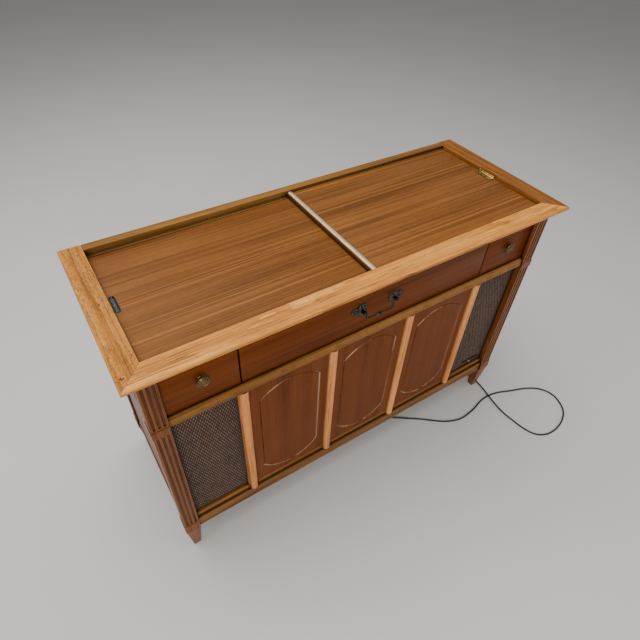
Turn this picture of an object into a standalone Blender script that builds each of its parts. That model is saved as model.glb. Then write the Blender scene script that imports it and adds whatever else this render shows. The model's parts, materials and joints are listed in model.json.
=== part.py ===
"""A radio phonograph console: a low walnut cabinet with two sliding lids over a record changer,
a tuner and a record well, arched front panels, two speakers and a mains cord.

Metres, +Z up, -Y is the front. The origin is on the floor, in the middle of the footprint.
"""
import math

import bmesh
import bpy
from mathutils import Matrix, Vector

# ---------------------------------------------------------------- driving sizes

GAP = 0.0003  # between pieces that touch
SLIDE_GAP = 0.0015  # between the two sliding lids
SIDE_PLAY = 0.0005  # each side of a lid in its track
THROUGH = 0.010  # how far a cutter runs past a face

WIDTH = 1.190
DEPTH = 0.460
HEIGHT = 0.770

# Top frame
FRONT_RAIL = 0.054
SIDE_RAIL = 0.051
REAR_RAIL = 0.024
NOSE_HEIGHT = 0.0075
EDGE_ROUND = 0.0015
UNDERCUT = 0.022
LEDGE_WIDTH = 0.009
LEDGE_THICKNESS = 0.0052
FRAME_LIP = 0.001  # underside of the frame below its ledges
FRONT_OVERHANG = 0.030
SIDE_OVERHANG = 0.027
REAR_OVERHANG = 0.0045

# Lids
LID_THICKNESS = 0.008
LID_DROP = 0.008  # top of the upper lid below the frame's face
LID_END_GAP = 0.0045  # beyond the upper lid's right end
LID_MEETING = -0.020  # left edge of the upper lid's trim
LID_OVERLAP = 0.0265
TRIM_WIDTH = 0.016
TRIM_RISE = 0.004

# Posts and rails
POST_WIDTH = 0.0386
FOOT_HEIGHT = 0.104
FOOT_TIP = 0.0190
BASE_HEIGHT = 0.0365
BASE_STEP = 0.0015
BAND_HEIGHT = 0.022
BAND_STEP = 0.0015
FLUTE_WIDTH = 0.0056
FLUTE_DEPTH = 0.0024
FLUTE_PITCH = 0.0113
FLUTES = 3
FLUTE_MARGIN = 0.006
DRAWER_HEIGHT = 0.1372
MID_RAIL_HEIGHT = 0.0252
RAIL_SETBACK = 0.0035
RAIL_TAIL = 0.0029  # how far a rail reaches behind the posts
BAND_RISE = 0.0105  # band top above the mid rail's lower edge

# Front bays
GRILLE_WIDTH = 0.1561
COLUMN_WIDTH = 0.027
COLUMN_RADIUS = 0.0122
COLUMN_STEM = 0.0100
PANEL_FACE = 0.0120  # panel face behind the posts' face
CLOTH_FACE = 0.0200
DRAWER_FACE = 0.0140
BAFFLE_FACE = 0.0240
STRIP_FACE = 0.0098
STRIP_HEIGHT = 0.0175
DRAWER_THICKNESS = 0.016
DRAWER_GAP = 0.0028
GROOVE_WIDTH = 0.0048
GROOVE_DEPTH = 0.0026
GROOVE_PASS = 0.001  # how far its cutter stands out of the panel
GROOVE_MARGIN = 0.0238  # groove centre line to the bay's edge
TOP_ARCH_RISE = 0.038
TOP_ARCH_MARGIN = 0.0305
BOTTOM_ARCH_RISE = 0.0455
BOTTOM_ARCH_MARGIN = 0.0215

# Boards
SIDE_THICKNESS = 0.012
SIDE_RECESS = 0.006
SIDE_MOULDING = 0.003
BOARD_THICKNESS = 0.012
BAFFLE_THICKNESS = 0.012
BACK_THICKNESS = 0.004
BACK_INSET = 0.012
VENT_LENGTH = 0.040
VENT_HEIGHT = 0.010
VENT_PITCH = 0.060

# Speakers
SPEAKER_HOLE = 0.056
SPEAKER_FLANGE = 0.070
SPEAKER_DEPTH = 0.066
SPEAKER_SHARE = 0.33  # how high it sits in its bay

# Record changer
PLATTER_RADIUS = 0.133
PLATTER_RIM = 0.005
PLATTER_X = 0.235  # platter centre from the side panel
CHANGER_WIDTH = 0.345
CHANGER_DEPTH = 0.300
CHANGER_PLATE = 0.004
CHANGER_FEET = 0.006
PLATTER_CLEARANCE = 0.004
PLATTER_HEIGHT = 0.0255
PLATE_SKIN = 0.006
IDLER_RADIUS = 0.018
PULLEY_RADIUS = 0.004
SHAFT_RADIUS = 0.0025
SHAFT_HOLE = 0.0045
DRIVE_ANGLE = math.radians(135)
MOTOR_RADIUS = 0.036
MOTOR_HEIGHT = 0.062
MOTOR_CLEARANCE = 0.009
SPINDLE_RADIUS = 0.0036
SPINDLE_RISE = 0.088
SPINDLE_CLEARANCE = 0.0006
ARM_LENGTH = 0.205
ARM_REACH = 0.175  # turret to platter centre, across
ARM_BACK = 0.105  # turret behind the platter centre
ARM_HALF = 0.0085

# Tuner panel and record well
PANEL_THICKNESS = 0.008
PANEL_RISE = 0.096  # panel face above the deck
PANEL_WALL = 0.006
PANEL_WIDTH = 0.271
DIAL_WIDTH = 0.200
DIAL_DEPTH = 0.052
DIAL_LEDGE = 0.002
DIAL_CENTRE_Y = 0.045
KNOB_LINE_Y = -0.085
TUNING_RADIUS = 0.021
SMALL_KNOB_RADIUS = 0.014
WELL_WIDTH = 0.250
WELL_WALL = 0.005
WELL_CLEARANCE = 0.008  # above the speakers
WELL_LENGTH = 0.338

# Metalwork
BAIL_HALF = 0.0405
BAIL_DROP = 0.0235
BAIL_RADIUS = 0.0020
BOSS_RADIUS = 0.0045
BOSS_HALF = 0.0475
BOSS_REACH = 0.0185
PIN_HOLE = 0.0025
LEAF_HALF = 0.025
LEAF_HEIGHT = 0.034
LEAF_THICKNESS = 0.002
KNOB_RADIUS = 0.0150
KNOB_REACH = 0.0135
CUP_LENGTH = 0.057
CUP_WIDTH = 0.013
CUP_INSET = 0.0025  # rim of the cup to the lid's end
CUP_DEPTH = 0.0060
CUP_WALL = 0.0012
CUP_CENTRE_Y = 0.0165
LIFT_WIDTH = 0.016
LIFT_HEIGHT = 0.0060
LIFT_SHEET = 0.0014
NOTCH_LENGTH = 0.066
NOTCH_REACH = 0.009
NOTCH_DEPTH = 0.014

# Cord
CORD_RADIUS = 0.00275
CORD_EXIT_X = 0.470
CORD_EXIT_Z = 0.140
BUSHING_LENGTH = 0.012
PLUG_LENGTH = 0.031
PLUG_WIDTH = 0.023
PLUG_HEIGHT = 0.017
BLADE_LENGTH = 0.017

# ---------------------------------------------------------------- planes worked out from them

POST_OUT = WIDTH / 2 - SIDE_OVERHANG
POST_IN = POST_OUT - POST_WIDTH
FRONT = -DEPTH / 2 + FRONT_OVERHANG
FRONT_POST_BACK = FRONT + POST_WIDTH
BACK = DEPTH / 2 - REAR_OVERHANG
REAR_POST_FRONT = BACK - POST_WIDTH

OPEN_X = WIDTH / 2 - SIDE_RAIL
OPEN_FRONT = -DEPTH / 2 + FRONT_RAIL
OPEN_BACK = DEPTH / 2 - REAR_RAIL
UPPER_LID_TOP = HEIGHT - LID_DROP
UPPER_LEDGE = UPPER_LID_TOP - LID_THICKNESS - GAP
LOWER_LID_TOP = UPPER_LID_TOP - LID_THICKNESS - SLIDE_GAP
LOWER_LEDGE = LOWER_LID_TOP - LID_THICKNESS - GAP
LEDGE_BOTTOM = LOWER_LEDGE - LEDGE_THICKNESS
FRAME_BOTTOM = LEDGE_BOTTOM - FRAME_LIP
FRAME_THICKNESS = HEIGHT - FRAME_BOTTOM

BASE_TOP = FOOT_HEIGHT + BASE_HEIGHT
MID_RAIL_TOP = FRAME_BOTTOM - DRAWER_HEIGHT
MID_RAIL_BOTTOM = MID_RAIL_TOP - MID_RAIL_HEIGHT
BAND_TOP = MID_RAIL_BOTTOM + BAND_RISE
BAND_BOTTOM = BAND_TOP - BAND_HEIGHT
RAIL_FRONT = FRONT + RAIL_SETBACK
RAIL_BACK = FRONT_POST_BACK + RAIL_TAIL
BAFFLE_FRONT = FRONT + BAFFLE_FACE
BACKING = BAFFLE_FRONT - GAP  # back of the cloths, panels and columns

OUTER_COLUMN_X = POST_IN - GRILLE_WIDTH - COLUMN_WIDTH / 2
COLUMN_SPACING = 2 * OUTER_COLUMN_X / 3
COLUMN_XS = [-OUTER_COLUMN_X + i * COLUMN_SPACING for i in range(4)]
BAY_BOTTOM = BASE_TOP + STRIP_HEIGHT
GRILLE_X = (POST_IN + OUTER_COLUMN_X + COLUMN_WIDTH / 2) / 2

SIDE_OUT = POST_OUT - SIDE_RECESS
SIDE_IN = SIDE_OUT - SIDE_THICKNESS
BOARD_FRONT = RAIL_BACK + GAP
BACK_OUT = BACK - BACK_INSET
BACK_IN = BACK_OUT - BACK_THICKNESS
DECK_TOP = MID_RAIL_TOP - 0.001
DECK_BOTTOM = DECK_TOP - BOARD_THICKNESS

PLATE_BOTTOM = DECK_TOP + GAP + CHANGER_FEET
PLATE_TOP = PLATE_BOTTOM + CHANGER_PLATE
PLATTER_CENTRE = Vector((-SIDE_IN + PLATTER_X, 0.0, 0.0))
RIM_BOTTOM = PLATE_TOP + PLATTER_CLEARANCE
PLATTER_TOP = RIM_BOTTOM + PLATTER_HEIGHT
RIM_INSIDE = PLATTER_RADIUS - PLATTER_RIM
IDLER_DISTANCE = RIM_INSIDE - GAP - IDLER_RADIUS
PULLEY_DISTANCE = IDLER_DISTANCE - IDLER_RADIUS - GAP - PULLEY_RADIUS
DRIVE_LINE = Vector((math.cos(DRIVE_ANGLE), math.sin(DRIVE_ANGLE), 0.0))
TURRET = PLATTER_CENTRE + Vector((ARM_REACH, ARM_BACK, 0.0))
ARM_AXIS_Z = PLATTER_TOP + 0.012
LEVER = Vector((TURRET.x + 0.006, -CHANGER_DEPTH / 2 + 0.026, 0.0))

PANEL_TOP = DECK_TOP + PANEL_RISE
PANEL_BOTTOM = PANEL_TOP - PANEL_THICKNESS
WELL_RIGHT = POST_IN - 0.002
WELL_LEFT = WELL_RIGHT - WELL_WIDTH
PANEL_RIGHT = WELL_LEFT - GAP
PANEL_LEFT = PANEL_RIGHT - PANEL_WIDTH
PANEL_X = (PANEL_LEFT + PANEL_RIGHT) / 2
DIAL_FLOOR = PANEL_TOP - 0.004
DIAL_SEAT = PANEL_TOP - 0.002

SPEAKER_PLAY = MID_RAIL_BOTTOM - BAY_BOTTOM - 2 * SPEAKER_FLANGE
SPEAKER_HEIGHT = BAY_BOTTOM + SPEAKER_FLANGE + SPEAKER_SHARE * SPEAKER_PLAY
WELL_BOTTOM = SPEAKER_HEIGHT + SPEAKER_FLANGE + WELL_CLEARANCE
DRAWER_FRONT = FRONT + DRAWER_FACE
PULL_Z = (MID_RAIL_TOP + FRAME_BOTTOM) / 2

# A hand-laid route on the floor: out of the back, down, forward under the case beside the
# right front foot, a loose loop in front of the console, and back under it to the plug.
CORD_ROUTE = [
    (0.470, 0.2262, 0.1400),
    (0.470, 0.2500, 0.1385),
    (0.471, 0.2690, 0.1180),
    (0.473, 0.2720, 0.0800),
    (0.476, 0.2690, 0.0450),
    (0.481, 0.2580, 0.0180),
    (0.488, 0.2390, 0.0050),
    (0.494, 0.2100, 0.0030),
    (0.508, 0.1400, 0.0030),
    (0.529, 0.0500, 0.0030),
    (0.549, -0.0500, 0.0030),
    (0.562, -0.1350, 0.0030),
    (0.5645, -0.1900, 0.0040),
    (0.5590, -0.2240, 0.0078),
    (0.5512, -0.2590, 0.0095),
    (0.5460, -0.2950, 0.0078),
    (0.5450, -0.3330, 0.0042),
    (0.5495, -0.3760, 0.0030),
    (0.5590, -0.4290, 0.0030),
    (0.5720, -0.4570, 0.0030),
    (0.5970, -0.4770, 0.0030),
    (0.6320, -0.4850, 0.0030),
    (0.6690, -0.4820, 0.0030),
    (0.7070, -0.4700, 0.0030),
    (0.7390, -0.4490, 0.0030),
    (0.7590, -0.4160, 0.0030),
    (0.7650, -0.3800, 0.0030),
    (0.7510, -0.3450, 0.0030),
    (0.7200, -0.3180, 0.0030),
    (0.6420, -0.2850, 0.0030),
    (0.5780, -0.2620, 0.0030),
    (0.5270, -0.2590, 0.0030),
    (0.4480, -0.2760, 0.0030),
    (0.3760, -0.2740, 0.0030),
    (0.2620, -0.1980, 0.0030),
    (0.1850, -0.1440, 0.0030),
    (0.1150, -0.1010, 0.0030),
    (0.0550, -0.0720, 0.0032),
    (0.0050, -0.0590, 0.0055),
    (-0.0450, -0.0570, 0.0090),
]
CORD_POINTS = 80

# ---------------------------------------------------------------- finishes: colour, roughness, metallic

FINISHES = {
    "honey_wood": ((0.60, 0.30, 0.10), 0.35, 0.0),
    "lid_wood": ((0.29, 0.13, 0.05), 0.35, 0.0),
    "case_wood": ((0.27, 0.10, 0.035), 0.38, 0.0),
    "rail_wood": ((0.33, 0.13, 0.045), 0.36, 0.0),
    "drawer_wood": ((0.14, 0.035, 0.010), 0.33, 0.0),
    "panel_wood": ((0.15, 0.05, 0.018), 0.34, 0.0),
    "column_wood": ((0.52, 0.20, 0.06), 0.34, 0.0),
    "plain_board": ((0.30, 0.20, 0.11), 0.75, 0.0),
    "hardboard": ((0.16, 0.09, 0.045), 0.85, 0.0),
    "grille_cloth": ((0.075, 0.060, 0.050), 0.90, 0.0),
    "black_paint": ((0.02, 0.02, 0.02), 0.45, 0.0),
    "grey_enamel": ((0.36, 0.33, 0.28), 0.40, 0.2),
    "cast_metal": ((0.55, 0.55, 0.53), 0.40, 0.9),
    "chrome": ((0.80, 0.80, 0.80), 0.12, 1.0),
    "steel": ((0.45, 0.45, 0.44), 0.35, 1.0),
    "champagne_metal": ((0.78, 0.66, 0.46), 0.28, 0.9),
    "antique_brass": ((0.30, 0.21, 0.09), 0.42, 0.9),
    "dark_pewter": ((0.045, 0.043, 0.038), 0.40, 0.8),
    "rubber": ((0.025, 0.025, 0.025), 0.85, 0.0),
    "brown_plastic": ((0.055, 0.028, 0.016), 0.35, 0.0),
    "ivory_plastic": ((0.72, 0.66, 0.50), 0.40, 0.0),
    "glass": ((0.70, 0.76, 0.74), 0.08, 0.0),
    "dial_red": ((0.55, 0.03, 0.02), 0.40, 0.0),
}

# ---------------------------------------------------------------- modelling helpers


def clear_scene():
    for old in list(bpy.data.objects):
        bpy.data.objects.remove(old, do_unlink=True)


def paint(piece, finish):
    colour, roughness, metallic = FINISHES[finish]
    material = bpy.data.materials.new(piece.name + "_" + finish)
    material.use_nodes = True
    shader = material.node_tree.nodes["Principled BSDF"]
    shader.inputs["Base Color"].default_value = (*colour, 1.0)
    shader.inputs["Roughness"].default_value = roughness
    shader.inputs["Metallic"].default_value = metallic
    material.diffuse_color = (*colour, 1.0)
    piece.data.materials.append(material)


def add_piece(name, bm, finish=None, origin=(0.0, 0.0, 0.0), smooth=False):
    """An object from a bmesh in world coordinates, with its origin where asked."""
    bmesh.ops.recalc_face_normals(bm, faces=bm.faces)
    bmesh.ops.translate(bm, verts=bm.verts, vec=-Vector(origin))
    mesh = bpy.data.meshes.new(name)
    bm.to_mesh(mesh)
    bm.free()
    if smooth:
        mesh.shade_smooth()
        mesh.set_sharp_from_angle(angle=math.radians(35))
    piece = bpy.data.objects.new(name, mesh)
    piece.location = origin
    bpy.context.scene.collection.objects.link(piece)
    if finish:
        paint(piece, finish)
    return piece


def add_helper(name, bm):
    """A hidden solid that a Boolean reads."""
    helper = add_piece(name, bm)
    helper.hide_render = True
    helper.display_type = "WIRE"
    return helper


def combine(piece, helper, operation):
    modifier = piece.modifiers.new(operation.lower(), "BOOLEAN")
    modifier.operation = operation
    modifier.solver = "EXACT"
    modifier.object = helper


def cut(piece, bm):
    combine(piece, add_helper(piece.name + "_cutter", bm), "DIFFERENCE")


def join(piece, bm):
    combine(piece, add_helper(piece.name + "_addition", bm), "UNION")


def add_box(bm, low, high, edge=0.0):
    low, high = Vector(low), Vector(high)
    size = high - low
    matrix = Matrix.Translation((low + high) / 2) @ Matrix.Diagonal((*size, 1.0))
    made = bmesh.ops.create_cube(bm, size=1.0, matrix=matrix)
    if edge:
        edges = list({e for v in made["verts"] for e in v.link_edges})
        bmesh.ops.bevel(bm, geom=edges, offset=edge, segments=1, affect="EDGES", profile=0.5)


def box(low, high, edge=0.0):
    bm = bmesh.new()
    add_box(bm, low, high, edge)
    return bm


def add_prism(bm, outline, axis, start, end):
    """An outline pushed along an axis. Start and end may depend on the outline's point."""

    def place(point, reach):
        along = reach(*point) if callable(reach) else reach
        a, b = point
        return {"X": (along, a, b), "Y": (a, along, b), "Z": (a, b, along)}[axis]

    first = [bm.verts.new(place(p, start)) for p in outline]
    last = [bm.verts.new(place(p, end)) for p in outline]
    count = len(outline)
    bm.faces.new(first[::-1])
    bm.faces.new(last)
    for i in range(count):
        j = (i + 1) % count
        bm.faces.new((first[i], first[j], last[j], last[i]))


def prism(outline, axis, start, end):
    bm = bmesh.new()
    add_prism(bm, outline, axis, start, end)
    return bm


def add_turned(bm, profile, centre, axis="Z", steps=24, ring=False):
    """A profile of (radius, height) turned round an axis through centre. A ring's profile is a loop."""
    turn = {
        "Z": Matrix.Identity(3),
        "-Y": Matrix.Rotation(math.pi / 2, 3, "X"),
        "Y": Matrix.Rotation(-math.pi / 2, 3, "X"),
        "X": Matrix.Rotation(math.pi / 2, 3, "Y"),
    }[axis]
    centre = Vector(centre)
    rings = []
    for radius, height in profile:
        if radius == 0.0:
            rings.append([bm.verts.new(centre + turn @ Vector((0.0, 0.0, height)))])
            continue
        circle = []
        for i in range(steps):
            angle = math.tau * (i + 0.5) / steps
            spot = Vector((radius * math.cos(angle), radius * math.sin(angle), height))
            circle.append(bm.verts.new(centre + turn @ spot))
        rings.append(circle)
    pairs = list(zip(rings, rings[1:]))
    if ring:
        pairs.append((rings[-1], rings[0]))
    for one, other in pairs:
        for i in range(steps):
            j = (i + 1) % steps
            if len(one) == 1:
                bm.faces.new((one[0], other[i], other[j]))
            elif len(other) == 1:
                bm.faces.new((one[i], one[j], other[0]))
            else:
                bm.faces.new((one[i], one[j], other[j], other[i]))


def turned(profile, centre, axis="Z", steps=24, ring=False):
    bm = bmesh.new()
    add_turned(bm, profile, centre, axis, steps, ring)
    return bm


def drum(radius, low, high):
    """The profile of a plain cylinder."""
    return [(0.0, low), (radius, low), (radius, high), (0.0, high)]


def tube(points, radii, sides):
    """A round bar along points, with a radius at each, closed at its ends."""
    bm = bmesh.new()
    points = [Vector(p) for p in points]
    normal = None
    rings = []
    for i, point in enumerate(points):
        before = points[max(i - 1, 0)]
        after = points[min(i + 1, len(points) - 1)]
        along = (after - before).normalized()
        if normal is None:
            normal = along.orthogonal().normalized()
        normal = (normal - along * normal.dot(along)).normalized()
        side = along.cross(normal)
        circle = []
        for k in range(sides):
            angle = math.tau * k / sides
            spot = normal * math.cos(angle) + side * math.sin(angle)
            circle.append(bm.verts.new(point + spot * radii[i]))
        rings.append(circle)
    bm.faces.new(rings[0][::-1])
    bm.faces.new(rings[-1])
    for one, other in zip(rings, rings[1:]):
        for k in range(sides):
            m = (k + 1) % sides
            bm.faces.new((one[k], one[m], other[m], other[k]))
    return bm


def arc(centre, radius, start, end, steps):
    """Points on a circle from one angle to another, in degrees."""
    found = []
    for i in range(steps + 1):
        angle = math.radians(start + (end - start) * i / steps)
        found.append((centre[0] + radius * math.cos(angle), centre[1] + radius * math.sin(angle)))
    return found


def stadium(centre, length, width, steps=8):
    """An outline with round ends, long in the second direction."""
    radius = width / 2
    shift = length / 2 - radius
    top = arc((centre[0], centre[1] + shift), radius, 0, 180, steps)
    bottom = arc((centre[0], centre[1] - shift), radius, 180, 360, steps)
    return top + bottom


# ---------------------------------------------------------------- top frame


def edge_profile(steps=4):
    """(inset, height) down the moulded outer edge: a thin nose and a cove under it."""
    points = [(EDGE_ROUND, HEIGHT), (0.0, HEIGHT - EDGE_ROUND), (0.0, HEIGHT - NOSE_HEIGHT)]
    start = 0.003
    drop = FRAME_THICKNESS - NOSE_HEIGHT - 0.0005
    for i in range(steps + 1):
        angle = math.pi / 2 * i / steps
        inset = start + (UNDERCUT - start) * math.sin(angle)
        points.append((inset, FRAME_BOTTOM + drop * math.cos(angle)))
    return points


def mitre_x(y, _z):
    """How far right the front rail reaches at this depth."""
    return WIDTH / 2 - (y + DEPTH / 2) * SIDE_RAIL / FRONT_RAIL - GAP


def mitre_y(x, _z):
    """How far forward a side rail reaches at this distance from the middle."""
    return -DEPTH / 2 + (WIDTH / 2 - abs(x)) * FRONT_RAIL / SIDE_RAIL


def add_tracks(bm, rail_edge, inward, reach):
    """The two steps that the lids run on, along a front or rear rail."""
    root = rail_edge - inward * 0.004
    outline = [
        (root, LEDGE_BOTTOM),
        (root, UPPER_LEDGE),
        (rail_edge + inward * LEDGE_WIDTH, UPPER_LEDGE),
        (rail_edge + inward * LEDGE_WIDTH, LOWER_LEDGE),
        (rail_edge + inward * 2 * LEDGE_WIDTH, LOWER_LEDGE),
        (rail_edge + inward * 2 * LEDGE_WIDTH, LEDGE_BOTTOM),
    ]
    add_prism(bm, outline, "X", -reach, reach)


def build_top_frame():
    reach = OPEN_X - GAP
    outline = [(-DEPTH / 2 + inset, z) for inset, z in edge_profile()]
    outline += [(OPEN_FRONT, FRAME_BOTTOM), (OPEN_FRONT, HEIGHT)]
    front = add_piece(
        "top_rail_front",
        prism(outline, "X", lambda y, z: -mitre_x(y, z), mitre_x),
        "honey_wood",
    )
    tracks = bmesh.new()
    add_tracks(tracks, OPEN_FRONT, 1, reach)
    join(front, tracks)

    rear_edge = DEPTH / 2
    outline = [
        (rear_edge, HEIGHT - EDGE_ROUND),
        (rear_edge - EDGE_ROUND, HEIGHT),
        (OPEN_BACK, HEIGHT),
        (OPEN_BACK, UPPER_LEDGE),
        (OPEN_BACK - LEDGE_WIDTH, UPPER_LEDGE),
        (OPEN_BACK - LEDGE_WIDTH, LOWER_LEDGE),
        (OPEN_BACK - 2 * LEDGE_WIDTH, LOWER_LEDGE),
        (OPEN_BACK - 2 * LEDGE_WIDTH, FRAME_BOTTOM),
        (rear_edge, FRAME_BOTTOM),
    ]
    add_piece("top_rail_rear", prism(outline, "X", -reach, reach), "case_wood")

    for side, name in ((-1, "left"), (1, "right")):
        outline = [(side * (WIDTH / 2 - inset), z) for inset, z in edge_profile()]
        outline += [(side * OPEN_X, FRAME_BOTTOM), (side * OPEN_X, HEIGHT)]
        rail = add_piece("top_rail_" + name, prism(outline, "Y", mitre_y, DEPTH / 2), "honey_wood")
        if side > 0:
            hollow = stadium((OPEN_X, CUP_CENTRE_Y), NOTCH_LENGTH, 2 * NOTCH_REACH)
            cut(rail, prism(hollow, "Z", HEIGHT - NOTCH_DEPTH, HEIGHT + THROUGH))


# ---------------------------------------------------------------- posts, sides and rails


def add_flute(bm, x, z_low, z_high):
    """A round-ended groove cutter in the front face of a post."""
    sink = FLUTE_WIDTH / 2
    section = []
    for i in range(7):
        angle = math.pi * i / 6
        section.append((x - sink * math.cos(angle), FRONT + FLUTE_DEPTH * math.sin(angle)))
    section += [(x + sink, FRONT - 0.004), (x - sink, FRONT - 0.004)]
    add_prism(bm, section, "Z", z_low, z_high)


def build_post(side, name, front, back, fluted):
    """One square post from the floor to the frame, with its foot, base block and band."""
    stretches = (
        (0.0, FOOT_HEIGHT, 0.0, True),
        (FOOT_HEIGHT, BASE_TOP, BASE_STEP, False),
        (BASE_TOP, BAND_BOTTOM, 0.0, False),
        (BAND_BOTTOM, BAND_TOP, BAND_STEP, False),
        (BAND_TOP, FRAME_BOTTOM - GAP, 0.0, False),
    )
    bm = bmesh.new()
    levels = []
    for z_low, z_high, step, foot in stretches:
        for z in (z_low, z_high):
            inner, outer = POST_IN, POST_OUT + step
            near, far = front - (step if fluted else 0.0), back
            if foot and z == z_low:
                centre_x = (POST_IN + POST_OUT) / 2
                centre_y = (front + back) / 2
                inner, outer = centre_x - FOOT_TIP / 2, centre_x + FOOT_TIP / 2
                near, far = centre_y - FOOT_TIP / 2, centre_y + FOOT_TIP / 2
            spots = [(inner, near), (outer, near), (outer, far), (inner, far)]
            levels.append([bm.verts.new((side * x, y, z)) for x, y in spots])
    bm.faces.new(levels[0])
    bm.faces.new(levels[-1])
    for one, other in zip(levels, levels[1:]):
        for i in range(4):
            j = (i + 1) % 4
            bm.faces.new((one[i], one[j], other[j], other[i]))
    bmesh.ops.remove_doubles(bm, verts=bm.verts, dist=1e-7)
    bmesh.ops.dissolve_degenerate(bm, edges=bm.edges, dist=1e-7)
    post = add_piece("corner_post_" + name, bm, "case_wood")
    if not fluted:
        return
    flutes = bmesh.new()
    centre = side * (POST_IN + POST_OUT) / 2
    for i in range(FLUTES):
        x = centre + (i - (FLUTES - 1) / 2) * FLUTE_PITCH
        add_flute(flutes, x, BASE_TOP + FLUTE_MARGIN, BAND_BOTTOM - FLUTE_MARGIN / 2)
        add_flute(flutes, x, BAND_TOP + FLUTE_MARGIN, FRAME_BOTTOM - 2 * FLUTE_MARGIN)
    cut(post, flutes)


def build_sides():
    for side, name in ((-1, "left"), (1, "right")):
        build_post(side, "front_" + name, FRONT, FRONT_POST_BACK, True)
        build_post(side, "rear_" + name, REAR_POST_FRONT, BACK, False)
        raised = SIDE_OUT + SIDE_MOULDING
        outline = [
            (SIDE_IN, FOOT_HEIGHT),
            (raised, FOOT_HEIGHT),
            (raised, BASE_TOP - 0.003),
            (SIDE_OUT, BASE_TOP),
            (SIDE_OUT, BAND_BOTTOM),
            (raised, BAND_BOTTOM + 0.003),
            (raised, BAND_TOP - 0.003),
            (SIDE_OUT, BAND_TOP),
            (SIDE_OUT, FRAME_BOTTOM - GAP),
            (SIDE_IN, FRAME_BOTTOM - GAP),
        ]
        outline = [(side * x, z) for x, z in outline]
        panel = prism(outline, "Y", FRONT_POST_BACK + GAP, REAR_POST_FRONT - GAP)
        add_piece("side_panel_" + name, panel, "case_wood")


def build_front_rails():
    reach = POST_IN - GAP
    back = RAIL_BACK
    low, high = MID_RAIL_BOTTOM, MID_RAIL_TOP
    outline = [
        (back, low),
        (RAIL_FRONT + 0.002, low),
        (RAIL_FRONT, low + 0.002),
        (RAIL_FRONT, low + 0.008),
        (RAIL_FRONT + 0.0012, low + 0.0095),
        (RAIL_FRONT + 0.0012, high - 0.0065),
        (RAIL_FRONT + 0.0045, high - 0.0015),
        (RAIL_FRONT + 0.0065, high),
        (back, high),
    ]
    add_piece("mid_rail", prism(outline, "X", -reach, reach), "rail_wood")

    low, high = FOOT_HEIGHT, BASE_TOP
    strip = FRONT + STRIP_FACE
    outline = [
        (back, low),
        (RAIL_FRONT + 0.0015, low),
        (RAIL_FRONT, low + 0.0015),
        (RAIL_FRONT, low + 0.0070),
        (RAIL_FRONT + 0.0014, low + 0.0085),
        (RAIL_FRONT + 0.0014, high - 0.0115),
        (RAIL_FRONT, high - 0.0100),
        (RAIL_FRONT, high - 0.0020),
        (RAIL_FRONT + 0.0025, high),
        (strip + 0.0020, high),
        (strip + 0.0020, high + 0.0020),
        (strip, high + 0.0040),
        (strip, BAY_BOTTOM - 0.0060),
        (strip + 0.0035, BAY_BOTTOM - GAP),
        (BACKING, BAY_BOTTOM - GAP),
        (BACKING, high),
        (back, high),
    ]
    rail = add_piece("bottom_rail", prism(outline, "X", -reach, reach), "rail_wood")
    seats = bmesh.new()
    half = COLUMN_WIDTH / 2 + GAP
    for x in COLUMN_XS:
        add_box(seats, (x - half, strip - 0.004, high), (x + half, BACKING + 0.001, BAY_BOTTOM + 0.002))
    cut(rail, seats)


# ---------------------------------------------------------------- front bays


def build_columns():
    bottom, top = BASE_TOP + GAP, MID_RAIL_BOTTOM - GAP
    shoulder = BACKING - COLUMN_STEM
    for number, x in enumerate(COLUMN_XS, 1):
        half = COLUMN_WIDTH / 2
        outline = [(x - half, BACKING), (x - half, shoulder)]
        outline += arc((x, shoulder), COLUMN_RADIUS, 180, 360, 12)
        outline += [(x + half, shoulder), (x + half, BACKING)]
        add_piece(f"column_{number}", prism(outline, "Z", bottom, top), "column_wood", smooth=True)


def arched_outline(x, half, low, high, top_rise, bottom_rise, steps=12):
    """A rectangle whose top and bottom bow outwards as arcs of circles."""
    points = []
    for corner_z, rise, way in ((high - top_rise, top_rise, 1), (low + bottom_rise, bottom_rise, -1)):
        radius = (half * half + rise * rise) / (2 * rise)
        spread = math.asin(half / radius)
        centre_z = corner_z - way * (radius - rise)
        for i in range(steps + 1):
            angle = spread * (1 - 2 * i / steps)
            across = way * radius * math.sin(angle)
            points.append((x + across, centre_z + way * radius * math.cos(angle)))
    return points


def build_arch_panels():
    bottom, top = BAY_BOTTOM, MID_RAIL_BOTTOM - GAP
    face = FRONT + PANEL_FACE
    for number, name in enumerate(("left", "centre", "right")):
        x = (COLUMN_XS[number] + COLUMN_XS[number + 1]) / 2
        half = (COLUMN_SPACING - COLUMN_WIDTH) / 2 - GAP
        panel = box((x - half, face, bottom), (x + half, BACKING, top))
        panel = add_piece("arch_panel_" + name, panel, "panel_wood")
        rings = []
        for spread, y in ((-1, face - GROOVE_PASS), (0, face + GROOVE_DEPTH), (1, face - GROOVE_PASS)):
            shift = spread * GROOVE_WIDTH / 2 * (1 + GROOVE_PASS / GROOVE_DEPTH)
            outline = arched_outline(
                x,
                half - GROOVE_MARGIN + shift,
                bottom + BOTTOM_ARCH_MARGIN - shift,
                top - TOP_ARCH_MARGIN + shift,
                TOP_ARCH_RISE,
                BOTTOM_ARCH_RISE,
            )
            rings.append((outline, y))
        groove = bmesh.new()
        loops = [[groove.verts.new((a, y, b)) for a, b in outline] for outline, y in rings]
        count = len(loops[0])
        for one, other in zip(loops, loops[1:] + loops[:1]):
            for i in range(count):
                j = (i + 1) % count
                groove.faces.new((one[i], one[j], other[j], other[i]))
        cut(panel, groove)


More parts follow.
